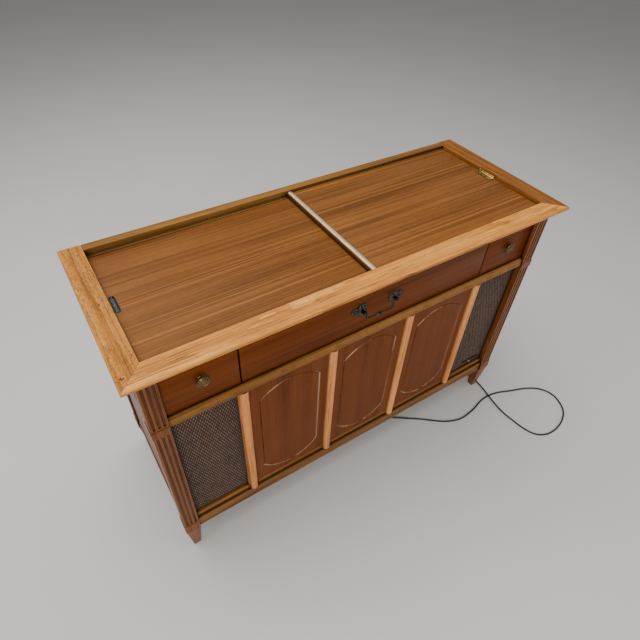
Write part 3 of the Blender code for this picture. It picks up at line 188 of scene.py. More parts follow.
def hollowShadeAndPatina(tree, colour, reach, strength, shadeAndPatinaColour, open_=0.92, shut=0.35):
    # painted shade: darker where the surface is hemmed in, as in grooves, seams, gaps and under overhangs,
    # from an occlusion mask; on brass the same darkening stands for patina in the hollows
    shelter = addNode(tree, "ShaderNodeAmbientOcclusion", {"Distance": reach}, samples=6).outputs["AO"]
    share = calc(tree, "MULTIPLY", spread(tree, shelter, open_, shut), strength)
    return blend(tree, share, colour, tone(*shadeAndPatinaColour))


# ---- finishes

def wood(axis, dark, mid, light, rings, heart, **changes):
    look = {
        "axis": axis, "dark": dark, "mid": mid, "light": light, "rings": rings, "heart": heart,
        "figure": 0.7, "reach": 3, "pores": 0.8, "gloss": 0.38, "wear": 0.4, "shine": 0.3,
        "shelter": 0.006, "shut": 0.35, "grime": 0.85, "burl": 0, "mineral": 0, "lines": 0,
    }
    return {**look, **changes}


woods = {
    "frontRailWood": wood(
        "X", (140, 80, 30), (205, 135, 60), (235, 170, 90), 170, (0.10, 0.03),
        figure=0.95, reach=4, pores=1.0, wear=0.35, mineral=0.75, lines=0.4,
    ),
    "sideRailWood": wood(
        "Y", (100, 55, 15), (175, 110, 40), (200, 140, 65), 150, (0.05, 0.045),
        figure=1.0, pores=1.0, gloss=0.40, wear=0.5, burl=1.0, lines=0.4,
    ),
    "rightRailWood": wood(
        "Y", (90, 50, 15), (140, 85, 35), (165, 110, 50), 150, (0.05, 0.045),
        figure=0.9, pores=1.0, gloss=0.40, wear=0.5, lines=0.4,
    ),
    "rearRailWood": wood(
        "X", (85, 50, 20), (125, 85, 35), (150, 105, 50), 120, (0.12, 0.05),
        figure=0.6, shelter=0.022, shut=0.62, grime=0.95,
    ),
    "lidWood": wood(
        "X", (80, 45, 15), (115, 70, 30), (140, 90, 40), 170, (0.9, 0.25),
        figure=0.30, reach=0.9, pores=1.0, gloss=0.44, wear=0.1, lines=1.0, shine=0.35,
    ),
    "postWood": wood(
        "Z", (80, 40, 15), (125, 70, 35), (150, 90, 45), 110, (0.3, 0.2),
        wear=0.9, shelter=0.008, shut=0.74, grime=0.95,
    ),
    "railWood": wood(
        "X", (85, 50, 20), (130, 85, 35), (160, 110, 55), 110, (0.2, 0.3),
        wear=0.7, shelter=0.016, shut=0.5, grime=0.9,
    ),
    "drawerWood": wood(
        "X", (75, 30, 5), (105, 50, 10), (120, 60, 15), 90, (0.15, 0.5),
        figure=0.5, reach=1.5, pores=0.5, gloss=0.36, wear=0.2, shine=0.12, lines=0.15,
    ),
    "panelWood": wood(
        "Z", (85, 40, 10), (110, 55, 20), (120, 65, 25), 80, (0.25, 0.6),
        figure=0.4, reach=1.5, pores=0.7, wear=0.9, shine=0.12, shut=0.2, grime=0.5, lines=0.15,
    ),
    "columnWood": wood(
        "Z", (160, 90, 40), (235, 150, 85), (255, 185, 115), 90, (0.3, 0.2),
        figure=0.8, gloss=0.36, wear=0.3, shelter=0.016, shut=0.45,
    ),
    # painted highlight: pale wood for the arch panel groove walls that face the light
    "grooveHighlightWood": wood(
        "Z", (75, 40, 15), (150, 100, 65), (230, 190, 160), 60, (0.25, 0.6),
        figure=1.0, reach=0.8, pores=0.5, gloss=0.3, wear=0.2, shine=0.5, shut=0.3, grime=0.7,
    ),
    # painted shade: a darker copy of the rail wood for the low step behind the bottom rail's moulding
    "shadeWood": wood(
        "X", (45, 20, 5), (80, 45, 15), (110, 70, 30), 110, (0.2, 0.3),
        gloss=0.4, wear=0.5, shelter=0.014, shut=0.5, grime=0.9,
    ),
}


def darkCurls(tree, colour, turned, look):
    # dark curls and pips in patches along the board
    knots = mapped(tree, turned, (1, 1.5, 1.5))
    swirl = noise(tree, knots, 26.0, 3.0, 0.65, 3.0)
    veins = spread(tree, calc(tree, "ABSOLUTE", calc(tree, "SUBTRACT", swirl, 0.5)), 0.0, 0.040, 1.0, 0.0)
    patches = spread(tree, noise(tree, knots, 9.0, 1.0), 0.36, 0.48)
    pips = spread(tree, noise(tree, knots, 75.0, 2.0), 0.66, 0.72)
    marks = calc(tree, "MAXIMUM", calc(tree, "MULTIPLY", veins, 0.75), pips)
    share = calc(tree, "MULTIPLY", calc(tree, "MULTIPLY", marks, patches), look["burl"])
    return blend(tree, share, colour, shade(look["dark"], 0.5))


def darkStreaks(tree, colour, turned, look):
    # long dark streaks lying nearly along the grain
    slant = mapped(tree, turned, (5, 95, 95), rotation=(0, 0, 0.10))
    streak = spread(tree, noise(tree, slant, 1.4, 3.0, 0.65, 0.8), 0.55, 0.62)
    where = spread(tree, noise(tree, turned, 9.0, 2.0), 0.44, 0.56)
    share = calc(tree, "MULTIPLY", calc(tree, "MULTIPLY", streak, where), look["mineral"])
    return blend(tree, share, colour, shade(look["dark"], 0.62))


def hairlines(tree, colour, turned, look):
    # paler and darker early wood running the whole length
    ripple = noise(tree, mapped(tree, turned, (0.3, 150, 150)), 1.0, 4.0, 0.75)
    ends = ((0.57, 0.68, shade(look["light"], 1.25)), (0.44, 0.34, shade(look["dark"], 0.85)))
    for start, end, line in ends:
        share = calc(tree, "MULTIPLY", spread(tree, ripple, start, end), look["lines"])
        colour = blend(tree, share, colour, line)
    return colour


def woodMaterial(name, look):
    material, tree, shader = newMaterial(
        name, look["gloss"], Specular_IOR_Level=look["shine"], Specular_Tint=(1.0, 0.62, 0.34, 1.0)
    )
    place = ownPlace(tree)
    # the grain always runs along the first axis of this turned copy
    parts = addNode(tree, "ShaderNodeSeparateXYZ", {0: place}).outputs
    order = {"X": (0, 1, 2), "Y": (1, 0, 2), "Z": (2, 0, 1)}[look["axis"]]
    turned = addNode(tree, "ShaderNodeCombineXYZ", {i: parts[k] for i, k in enumerate(order)}).outputs[0]
    run = mapped(tree, turned, (0.22, 1, 1))
    sway = noise(tree, run, 9.0, 2.0)
    lift = calc(tree, "MULTIPLY_ADD", sway, 0.030 * look["figure"], -0.015 * look["figure"])
    shift = addNode(tree, "ShaderNodeCombineXYZ", {1: lift, 2: lift}).outputs[0]
    swayed = addNode(tree, "ShaderNodeVectorMath", {0: run, 1: shift}, operation="ADD").outputs[0]
    trunk = mapped(tree, swayed, location=(0.0, *look["heart"]), rotation=(0, 0.03, 0.05))
    rings = addNode(tree, "ShaderNodeTexWave", {
        "Vector": trunk, "Scale": look["rings"] / 6.3, "Distortion": 1.6, "Detail": 2.0,
        "Detail Scale": 2.5,
    }, wave_type="RINGS", rings_direction="X", wave_profile="SAW").outputs[1]
    broad = noise(tree, mapped(tree, turned, (1.2, 14, 14)), 1.6, 3.0)
    streaks = noise(tree, mapped(tree, turned, (look["reach"], 150, 150)), 2.0, 4.0, 0.6)
    fibre = noise(tree, mapped(tree, turned, (30, 900, 900)), 1.5, 2.0)
    level = calc(tree, "MULTIPLY_ADD", rings, 0.30 * look["figure"], -0.15 * look["figure"])
    level = calc(tree, "ADD", level, calc(tree, "MULTIPLY_ADD", broad, 0.9, 0.05))
    level = calc(tree, "ADD", level, calc(tree, "MULTIPLY_ADD", streaks, 0.8, -0.40))
    colours = addNode(tree, "ShaderNodeValToRGB", {0: level})
    bands = colours.color_ramp.elements
    bands[0].position = 0.16
    bands[0].color = tone(*look["dark"])
    bands[1].position = 0.84
    bands[1].color = tone(*look["light"])
    middle = bands.new(0.5)
    middle.color = tone(*look["mid"])
    colour = colours.outputs[0]
    for key, marks in (("burl", darkCurls), ("mineral", darkStreaks), ("lines", hairlines)):
        if look[key]:
            colour = marks(tree, colour, turned, look)
    pores = spread(tree, fibre, 0.56, 0.72)
    share = calc(tree, "MULTIPLY", pores, look["pores"] * 0.6)
    colour = blend(tree, share, colour, shade(look["dark"], 0.55))
    # paler edges: rubbed wear, and also a painted highlight along the edges
    edgeWearAndHighlight = calc(
        tree, "MULTIPLY", edgeMask(tree, 0.0014), spread(tree, noise(tree, place, 35.0, 3.0), 0.30, 0.52),
    )
    colour = blend(
        tree, calc(tree, "MULTIPLY", edgeWearAndHighlight, look["wear"]), colour, shade(look["light"], 1.1, 42),
    )
    # painted shade: the wood darkens where it is hemmed in, in flutes, seams, gaps and under overhangs
    shadeAndPatinaColour = [value * 0.3 for value in look["dark"]]
    colour = hollowShadeAndPatina(tree, colour, look["shelter"], look["grime"], shadeAndPatinaColour, shut=look["shut"])
    dull = calc(tree, "MULTIPLY_ADD", noise(tree, place, 14.0, 3.0), 0.16, look["gloss"] - 0.08)
    feed(tree, shader, colour, calc(tree, "MULTIPLY_ADD", pores, 0.15, dull))
    height = calc(tree, "MULTIPLY_ADD", streaks, 0.5, calc(tree, "MULTIPLY", pores, -0.8))
    bump(tree, shader, height, 0.25, 0.0003)
    return material


def boardMaterial(name, dark, light, speckle):
    # unfinished board with sawn fibres
    material, tree, shader = newMaterial(name, 0.78)
    flecks = noise(tree, objectPlace(tree, (40, 160, 160)), speckle, 4.0, 0.65)
    clouds = calc(tree, "MULTIPLY_ADD", noise(tree, objectPlace(tree), 6.0, 2.0), 0.4, -0.15)
    share = calc(tree, "MULTIPLY_ADD", flecks, 0.8, clouds, clamp=True)
    feed(tree, shader, blend(tree, share, tone(*dark), tone(*light)))
    bump(tree, shader, flecks, 0.4, 0.0004)
    return material


def hardboardMaterial(name):
    # the meshed face of pressed fibre board
    material, tree, shader = newMaterial(name, 0.8)
    flecks = noise(tree, objectPlace(tree), 420.0, 3.0, 0.7)
    clouds = calc(tree, "MULTIPLY_ADD", noise(tree, objectPlace(tree), 5.0, 3.0), 0.5, -0.1)
    share = calc(tree, "MULTIPLY_ADD", flecks, 0.7, clouds, clamp=True)
    feed(tree, shader, blend(tree, share, tone(78, 52, 32), tone(128, 90, 58)))
    mesh = calc(tree, "MULTIPLY", waveBands(tree, "X", 0.0022), waveBands(tree, "Z", 0.0022))
    bump(tree, shader, calc(tree, "ADD", mesh, flecks), 0.35, 0.0005)
    return material


def waveBands(tree, axis, pitch):
    # a cosine of this pitch along one object axis, from 0 to 1
    part = addNode(tree, "ShaderNodeSeparateXYZ", {0: ownPlace(tree)}).outputs["XYZ".index(axis)]
    angle = calc(tree, "MULTIPLY", part, math.tau / pitch)
    return calc(tree, "MULTIPLY_ADD", calc(tree, "COSINE", angle), 0.5, 0.5)


def metalMaterial(
    name, dark, light, roughness, metallic=1.0, grain=60.0, stretch=(1, 1, 1), pits=0.3, wear=None,
):
    material, tree, shader = newMaterial(name, roughness, metallic)
    patches = noise(tree, objectPlace(tree, stretch), grain, 4.0, 0.6)
    colour = blend(tree, spread(tree, patches, 0.35, 0.65), tone(*dark), tone(*light))
    # paler edges: wear, and also a painted highlight along the edges
    if wear:
        colour = blend(tree, calc(tree, "MULTIPLY", edgeMask(tree, 0.0008), 0.75), colour, tone(*wear))
    feed(tree, shader, colour, spread(tree, patches, 0.3, 0.7, roughness - 0.07, roughness + 0.12))
    bump(tree, shader, patches, pits, 0.0002)
    return material


def brassMaterial(name):
    # brown patina that is darkest in the hollows and rubbed on the high spots
    material, tree, shader = newMaterial(name, 0.4, 0.85)
    patches = noise(tree, objectPlace(tree), 190.0, 4.0, 0.6)
    colour = blend(tree, spread(tree, patches, 0.35, 0.65), tone(84, 62, 34), tone(132, 104, 62))
    colour = blend(tree, calc(tree, "MULTIPLY", edgeMask(tree, 0.0009), 0.6), colour, tone(196, 168, 118))
    colour = hollowShadeAndPatina(tree, colour, 0.004, 0.9, (22, 14, 7), 0.9, 0.45)
    feed(tree, shader, colour, spread(tree, patches, 0.3, 0.7, 0.32, 0.5))
    bump(tree, shader, patches, 0.3, 0.0002)
    return material


def trimMaterial(name, shadedFlankEnd, paleStart):
    # anodised strip with painted shade in brown gold along its left flank
    material, tree, shader = newMaterial(name, 0.34, 0.75)
    across = addNode(tree, "ShaderNodeSeparateXYZ", {0: ownPlace(tree)}).outputs[0]
    brushed = noise(tree, objectPlace(tree, (60, 1.2, 60)), 18.0, 3.0)
    wander = calc(tree, "MULTIPLY_ADD", noise(tree, objectPlace(tree), 30.0, 3.0), 0.0016, -0.0008)
    share = spread(tree, calc(tree, "ADD", across, wander), shadedFlankEnd, paleStart)
    pale = blend(tree, brushed, tone(228, 208, 168), tone(250, 238, 212))
    colour = blend(tree, share, blend(tree, brushed, tone(96, 58, 26), tone(140, 94, 48)), pale)
    feed(tree, shader, colour, spread(tree, brushed, 0.3, 0.7, 0.26, 0.42))
    bump(tree, shader, brushed, 0.12, 0.0002)
    return material


def plasticMaterial(name, colour, roughness, mottle=0.12):
    material, tree, shader = newMaterial(name, roughness, Coat_Weight=0.3, Coat_Roughness=0.12)
    clouds = noise(tree, objectPlace(tree), 40.0, 4.0, 0.55)
    fine = noise(tree, objectPlace(tree), 900.0, 2.0)
    mixed = blend(tree, clouds, shade(colour, 1 - mottle), shade(colour, 1 + mottle))
    feed(tree, shader, mixed, spread(tree, clouds, 0.3, 0.7, roughness - 0.05, roughness + 0.08))
    bump(tree, shader, fine, 0.15, 0.0001)
    return material


def enamelMaterial(name, colour):
    # baked enamel with a fine orange peel and a few specks
    material, tree, shader = newMaterial(name, 0.34, 0.25, Coat_Weight=0.4, Coat_Roughness=0.15)
    peel = noise(tree, objectPlace(tree), 260.0, 2.0)
    clouds = noise(tree, objectPlace(tree), 9.0, 3.0)
    flakes = spread(tree, noise(tree, objectPlace(tree), 1500.0, 2.0), 0.62, 0.74)
    base = blend(tree, clouds, shade(colour, 0.9), shade(colour, 1.06))
    feed(tree, shader, blend(tree, calc(tree, "MULTIPLY", flakes, 0.35), base, tone(230, 225, 210)))
    bump(tree, shader, peel, 0.2, 0.0003)
    return material


def clothMaterial(name, weave):
    # light dashes where a thick thread passes over, each row set half a step on, with dark holes between
    material, tree, shader = newMaterial(name, 0.9, Sheen_Weight=0.1, Specular_IOR_Level=0.15)
    across = waveBands(tree, "X", weave["pitchX"])
    down = waveBands(tree, "Z", weave["pitchZ"])
    same = calc(tree, "MULTIPLY", across, down)
    other = calc(tree, "MULTIPLY", calc(tree, "SUBTRACT", 1.0, across), calc(tree, "SUBTRACT", 1.0, down))
    crest = calc(tree, "MAXIMUM", same, other)
    uneven = noise(tree, objectPlace(tree, (1, 1, 0.5)), 160.0, 3.0, 0.7)
    faded = noise(tree, objectPlace(tree, (2, 2, 1)), 5.0, 3.0)
    warmed = noise(tree, objectPlace(tree), 60.0, 2.0)
    fleck = calc(tree, "MULTIPLY", spread(tree, crest, 0.42, 0.80), spread(tree, uneven, 0.28, 0.60))
    fineX, fineZ = waveBands(tree, "X", weave["pitchX"] / 5), waveBands(tree, "Z", weave["pitchZ"] / 13)
    threads = calc(tree, "MULTIPLY", fineX, fineZ)
    ground = blend(
        tree, spread(tree, faded, 0.35, 0.65), tone(*weave["ground"]), tone(*weave["groundWarm"]),
    )
    ground = blend(tree, spread(tree, crest, 0.22, 0.02), ground, tone(*weave["hole"]))
    light = blend(tree, spread(tree, warmed, 0.4, 0.6), tone(*weave["fleck"]), tone(*weave["fleckWarm"]))
    colour = blend(tree, fleck, ground, light)
    colour = blend(tree, calc(tree, "MULTIPLY", threads, 0.35), colour, tone(22, 15, 12))
    # painted shade where the cloth is hemmed in by its frame
    feed(tree, shader, hollowShadeAndPatina(tree, colour, 0.02, 0.7, (14, 9, 7), 0.9, 0.3))
    bump(
        tree, shader, calc(tree, "MULTIPLY_ADD", threads, -0.5, calc(tree, "MULTIPLY", uneven, 0.6)), 0.5,
        0.0006,
    )
    return material


def rubberMaterial(name, colour, roughness=0.7):
    material, tree, shader = newMaterial(name, roughness)
    dust = noise(tree, objectPlace(tree), 130.0, 4.0, 0.65)
    feed(tree, shader, blend(tree, spread(tree, dust, 0.45, 0.75), tone(*colour), shade(colour, 1.5, 8)))
    bump(tree, shader, dust, 0.2, 0.0002)
    return material


def jewelMaterial(name):
    material, tree, shader = newMaterial(name, 0.08, Transmission_Weight=0.35, IOR=1.5, Coat_Weight=1.0)
    depth = noise(tree, objectPlace(tree), 320.0, 2.0)
    feed(tree, shader, blend(tree, depth, tone(196, 44, 26), tone(246, 120, 86)))
    bump(tree, shader, depth, 0.1, 0.0002)
    return material


def glassMaterial(name):
    material, tree, shader = newMaterial(name, 0.05, Transmission_Weight=0.92, IOR=1.45)
    smears = noise(tree, objectPlace(tree, (3, 9, 3)), 12.0, 4.0)
    pale = blend(tree, smears, tone(225, 236, 230), tone(240, 246, 242))
    feed(tree, shader, pale, spread(tree, smears, 0.4, 0.7, 0.03, 0.12))
    return material


def dialMaterial(name, low, high):
    # two scales of fine strokes with a longer one at every fifth, and no lettering
    material, tree, shader = newMaterial(name, 0.5)
    halfStroke = 0.00035
    centreX, length = (low.x + high.x) / 2, high.x - low.x
    centreY, depth = (low.y + high.y) / 2, high.y - low.y
    place = objectPlace(tree, (1, 1, 1), (-centreX, -centreY, 0))
    parts = addNode(tree, "ShaderNodeSeparateXYZ", {0: place}).outputs
    away = calc(tree, "ABSOLUTE", parts[0])
    inside = calc(tree, "LESS_THAN", away, length * 0.455)
    ink = 0.0
    for pitch, reach in ((length / 60, 0.045), (length / 12, 0.085)):
        phase = calc(tree, "FRACT", calc(tree, "MULTIPLY_ADD", parts[0], 1 / pitch, 100.5))
        offset = calc(tree, "ABSOLUTE", calc(tree, "SUBTRACT", phase, 0.5))
        stroke = calc(tree, "LESS_THAN", offset, halfStroke / pitch)
        for line in (-0.2, 0.2):
            near = calc(tree, "ABSOLUTE", calc(tree, "SUBTRACT", parts[1], depth * line))
            tick = calc(tree, "MULTIPLY", stroke, calc(tree, "LESS_THAN", near, depth * reach))
            ink = calc(tree, "MAXIMUM", ink, tick)
    for line in (-0.2, 0.0, 0.2):
        near = calc(tree, "ABSOLUTE", calc(tree, "SUBTRACT", parts[1], depth * line))
        ink = calc(tree, "MAXIMUM", ink, calc(tree, "LESS_THAN", near, halfStroke))
    ink = calc(tree, "MULTIPLY", ink, inside)
    aged = blend(tree, noise(tree, objectPlace(tree), 18.0, 4.0), tone(206, 188, 142), tone(232, 220, 184))
    feed(tree, shader, blend(tree, ink, aged, tone(38, 28, 20)))
    bump(tree, shader, noise(tree, objectPlace(tree), 600.0), 0.1, 0.0001)
    return material


weave = {
    "pitchX": 0.0068, "pitchZ": 0.0165, "crest": 0.0005,
    "ground": (54, 39, 32), "groundWarm": (70, 45, 34), "hole": (24, 15, 11),
    "fleck": (132, 116, 104), "fleckWarm": (142, 114, 90),
}
finishes = {name: woodMaterial(name, look) for name, look in woods.items()}
finishes.update({
    "plainBoard": boardMaterial("plainBoard", (122, 92, 60), (176, 142, 100), 1.6),
    "hardboard": hardboardMaterial("hardboard"),
    "grilleCloth": clothMaterial("grilleCloth", weave),
    "blackPaint": metalMaterial("blackPaint", (22, 22, 22), (40, 40, 40), 0.45, 0.0, 90.0),
    "greyEnamel": enamelMaterial("greyEnamel", (158, 150, 134)),
    "castMetal": metalMaterial("castMetal", (150, 150, 146), (196, 196, 192), 0.36, 1.0, 200.0),
    "chrome": metalMaterial("chrome", (214, 214, 214), (236, 236, 236), 0.12, 1.0, 50.0, pits=0.05),
    "steel": metalMaterial("steel", (138, 138, 136), (182, 182, 178), 0.38, 1.0, 120.0, (6, 1, 1)),
    "champagne": trimMaterial("champagne", -0.0172, -0.0148),
    "agedBrass": brassMaterial("agedBrass"),
    # the pale edge colour of the pewter is wear and also a painted highlight
    "pewter": metalMaterial("pewter", (20, 18, 17), (58, 54, 50), 0.30, 0.85, 220.0, wear=(206, 202, 196)),
    "rubber": rubberMaterial("rubber", (26, 26, 26), 0.8),
    "cordRubber": rubberMaterial("cordRubber", (36, 28, 24), 0.55),
    "brownPlastic": plasticMaterial("brownPlastic", (58, 36, 24), 0.3),
    "ivoryPlastic": plasticMaterial("ivoryPlastic", (214, 204, 176), 0.36, 0.05),
    "jewel": jewelMaterial("jewel"),
    "clearGlass": glassMaterial("clearGlass"),
    "redEnamel": plasticMaterial("redEnamel", (190, 34, 22), 0.35, 0.08),
    "blackEnamel": plasticMaterial("blackEnamel", (30, 30, 29), 0.26, 0.3),
    "cupMetal": metalMaterial("cupMetal", (66, 68, 66), (112, 114, 110), 0.34, 0.6, 260.0),
    # the pale edge colour of the lift brass is wear and also a painted highlight
    "liftBrass": metalMaterial(
        "liftBrass", (116, 92, 44), (190, 158, 90), 0.30, 1.0, 180.0, wear=(236, 208, 140)
    ),
    "dialFace": dialMaterial("dialFace", *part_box("dial_glass")),
})
print("finishes mixed:", len(finishes))

# ---- mesh helpers


def newPiece(name, bm, finish, body="cabinet", stands=(), sharp=38, recalc=True):
    if recalc:
        bmesh.ops.recalc_face_normals(bm, faces=bm.faces)
    mesh = bpy.data.meshes.new(name)
    bm.to_mesh(mesh)
    bm.free()
    mesh.shade_smooth()
    mesh.set_sharp_from_angle(angle=math.radians(sharp))
    for one in finish if isinstance(finish, tuple) else (finish,):
        mesh.materials.append(finishes[one])
    made = bpy.data.objects.new(name, mesh)
    bpy.context.scene.collection.objects.link(made)
    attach(made, body)
    if stands:
        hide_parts(*stands)
    return made


def ease(bm, edges, offset, segments, clamp=False):
    bmesh.ops.bevel(
        bm, geom=edges, offset=offset, segments=segments, affect="EDGES", profile=0.5, material=-1,
        clamp_overlap=clamp,
    )


def addLoop(bm, places):
    # a closed ring of edges through these places
    verts = [bm.verts.new(place) for place in places]
    return [bm.edges.new((verts[i], verts[(i + 1) % len(verts)])) for i in range(len(verts))]


def bridgeAll(bm, loops):
    for one, other in zip(loops, loops[1:]):
        bmesh.ops.bridge_loops(bm, edges=one + other)


def crown(bm, face, inset, lift):
    # the face drawn in by the inset, then lifted
    bmesh.ops.inset_region(bm, faces=[face], thickness=inset, depth=0.0, use_even_offset=True)
    bmesh.ops.translate(bm, verts=list(face.verts), vec=lift)


def rectangle(x, y, wide, deep):
    return [(x - wide, y - deep), (x + wide, y - deep), (x + wide, y + deep), (x - wide, y + deep)]


def addBlock(bm, low, high, edge=0.0, segments=2):
    low, high = Vector(low), Vector(high)
    matrix = Matrix.Translation((low + high) / 2) @ Matrix.Diagonal((*(high - low), 1.0))
    made = bmesh.ops.create_cube(bm, size=1.0, matrix=matrix)["verts"]
    if edge:
        ease(bm, list({e for v in made for e in v.link_edges}), edge, segments)


def addSlab(bm, outline, start, end, axis="Z"):
    # an outline pushed from start to end along an axis
    depth = "XYZ".index(axis)
    places = [(*point[:depth], start, *point[depth:]) for point in outline]
    face = bm.faces.new([bm.verts.new(place) for place in places])
    pushed = bmesh.ops.extrude_face_region(bm, geom=[face])["geom"]
    top = [g for g in pushed if isinstance(g, bmesh.types.BMFace)]
    verts = [g for g in pushed if isinstance(g, bmesh.types.BMVert)]
    reach = Vector([end - start if axis == name else 0.0 for name in "XYZ"])
    bmesh.ops.translate(bm, verts=verts, vec=reach)
    return face, top[0]


def addTurned(bm, profile, centre, axis="Z", steps=48):
    # a profile of (radius, height) spun round an axis
    turn = {
        "Z": Matrix.Identity(3),
        "Y": Matrix.Rotation(-math.pi / 2, 3, "X"),
        "-Y": Matrix.Rotation(math.pi / 2, 3, "X"),
        "X": Matrix.Rotation(math.pi / 2, 3, "Y"),
    }[axis]
    centre = Vector(centre)
    verts = [bm.verts.new(centre + turn @ Vector((radius, 0.0, height))) for radius, height in profile]
    edges = [bm.edges.new(pair) for pair in zip(verts, verts[1:])]
    bmesh.ops.spin(
        bm, geom=verts + edges, cent=centre, axis=turn @ Vector((0, 0, 1)), angle=math.tau, steps=steps,
        use_merge=True,
    )
    bmesh.ops.remove_doubles(bm, verts=bm.verts, dist=1e-6)


def addBall(bm, centre, radius, stretch=(1, 1, 1), detail=12):
    matrix = Matrix.Translation(centre) @ Matrix.Diagonal((*stretch, 1.0))
    bmesh.ops.create_uvsphere(bm, u_segments=detail * 2, v_segments=detail, radius=radius, matrix=matrix)


def addRod(bm, points, radii, sides=10, smooth=5):
    # a round bar through points, swelling as the radii say
    curve = bpy.data.curves.new("rod", "CURVE")
    curve.dimensions = "3D"
    curve.bevel_depth = 1.0
    curve.bevel_resolution = max(1, sides // 4)
    curve.resolution_u = smooth
    curve.use_fill_caps = True
    spline = curve.splines.new("BEZIER")
    spline.bezier_points.add(len(points) - 1)
    for slot, point, radius in zip(spline.bezier_points, points, radii):
        slot.co = point
        slot.radius = radius
        slot.handle_left_type = slot.handle_right_type = "AUTO"
    holder = bpy.data.objects.new("rod", curve)
    bpy.context.scene.collection.objects.link(holder)
    bpy.context.view_layer.update()
    mesh = bpy.data.meshes.new_from_object(holder)
    bm.from_mesh(mesh)
    bpy.data.objects.remove(holder)
    bpy.data.meshes.remove(mesh)
    bpy.data.curves.remove(curve)
    bmesh.ops.remove_doubles(bm, verts=bm.verts, dist=1e-6)


def arcPoints(centre, radius, start, end, steps):
    angles = [math.radians(start + (end - start) * i / steps) for i in range(steps + 1)]
    return [(centre[0] + radius * math.cos(a), centre[1] + radius * math.sin(a)) for a in angles]


def stadium(centre, length, width, steps=14):
    radius = width / 2
    shift = length / 2 - radius
    top = arcPoints((centre[0], centre[1] + shift), radius, 0, 180, steps)
    return top + arcPoints((centre[0], centre[1] - shift), radius, 180, 360, steps)


def camel(node):
    words = node.split("_")
    return words[0] + "".join(word.capitalize() for word in words[1:]) + "Shaped"


def refine(node, finish, body="cabinet", edge=0.0007, angle=42, segments=2, sharp=20):
    # the frame's own shape with its flat faces joined and its edges eased
    bm = bmesh.new()
    bm.from_mesh(nodes[node].data)
    bmesh.ops.remove_doubles(bm, verts=bm.verts, dist=1e-5)
    bmesh.ops.dissolve_limit(bm, angle_limit=math.radians(1.0), verts=bm.verts, edges=bm.edges)
    turned = [e for e in bm.edges if len(e.link_faces) == 2 and e.calc_face_angle() > math.radians(angle)]
    ease(bm, turned, edge, segments, clamp=True)
    newPiece(camel(node), bm, finish, body, (node,), sharp=sharp, recalc=False)


# ---- cord, plug and strain relief

cord = {
    "length": 2.07, "diameter": 0.0055, "finish": "cordRubber",
    "route": [
        (0.470, 0.2262, 0.1400), (0.470, 0.2500, 0.1385), (0.471, 0.2690, 0.1180), (0.473, 0.2720, 0.0800),
        (0.476, 0.2690, 0.0450), (0.481, 0.2580, 0.0180), (0.488, 0.2390, 0.0050), (0.494, 0.2100, 0.0030),
        (0.508, 0.1400, 0.0030), (0.529, 0.0500, 0.0030), (0.549, -0.0500, 0.0030),
        (0.562, -0.1350, 0.0030),
        (0.5645, -0.1900, 0.0040), (0.5590, -0.2240, 0.0078), (0.5512, -0.2590, 0.0095),
        (0.5460, -0.2950, 0.0078),
        (0.5450, -0.3330, 0.0042), (0.5495, -0.3760, 0.0030), (0.5590, -0.4290, 0.0030),
        (0.5720, -0.4570, 0.0030),
        (0.5970, -0.4770, 0.0030), (0.6320, -0.4850, 0.0030), (0.6690, -0.4820, 0.0030),
        (0.7070, -0.4700, 0.0030),
        (0.7390, -0.4490, 0.0030), (0.7590, -0.4160, 0.0030), (0.7650, -0.3800, 0.0030),
        (0.7510, -0.3450, 0.0030),
        (0.7200, -0.3180, 0.0030), (0.6420, -0.2850, 0.0030), (0.5780, -0.2620, 0.0030),
        (0.5270, -0.2590, 0.0030),
        (0.4480, -0.2760, 0.0030), (0.3760, -0.2740, 0.0030), (0.2620, -0.1980, 0.0030),
        (0.1850, -0.1440, 0.0030),
        (0.1150, -0.1010, 0.0030), (0.0550, -0.0720, 0.0032), (0.0050, -0.0590, 0.0055),
        (-0.0450, -0.0570, 0.0090),
    ],
}
plug = {
    "rise": 0.0088, "length": 0.031, "width": 0.023, "height": 0.017, "neck": 0.010,
    "ribs": 5, "bladeLength": 0.017, "bladeGap": 0.0127,
}
relief = {"length": 0.032, "base": 0.0088, "tip": 0.0040, "ribs": 6}


def makePlug(settings, end):
    bm = bmesh.new()
    x, y, z = end[0] - 0.0003, end[1], settings["rise"]
    neck, half = settings["neck"] / 2, settings["width"] / 2
    back = x - settings["length"]
    outline = [
        (x, y + neck), (x - 0.006, y + neck * 1.1), (x - 0.011, y + neck * 1.6),
        (x - 0.015, y + half * 0.96),
        (back + 0.002, y + half), (back, y + half - 0.002), (back, y - half + 0.002),
        (back + 0.002, y - half),
        (x - 0.015, y - half * 0.96), (x - 0.011, y - neck * 1.6), (x - 0.006, y - neck * 1.1),
        (x, y - neck),
    ]
    tall = settings["height"] / 2
    addSlab(bm, outline, z - tall, z + tall)
    ease(bm, list(bm.edges), 0.0016, 3)
    for i in range(settings["ribs"]):
        # finger ribs across the top and bottom
        ribX = x - 0.0165 - i * 0.0026
        for side in (-1, 1):
            level = z + side * (tall - 0.0004)
            low = (ribX - 0.0005, y - half * 0.72, level - 0.0006)
            addBlock(bm, low, (ribX + 0.0005, y + half * 0.72, level + 0.0004), 0.0003)
    body = newPiece("plugBody", bm, "brownPlastic", stands=("plug",))
    blades = bmesh.new()
    for side in (-1, 1):
        bladeY = y + side * settings["bladeGap"] / 2
        low = (back - settings["bladeLength"], bladeY - 0.00075, z - 0.0032)
        addBlock(blades, low, (back + 0.004, bladeY + 0.00075, z + 0.0032), 0.0005)
    prongs = newPiece("plugBlades", blades, "agedBrass")
    return [body, prongs]


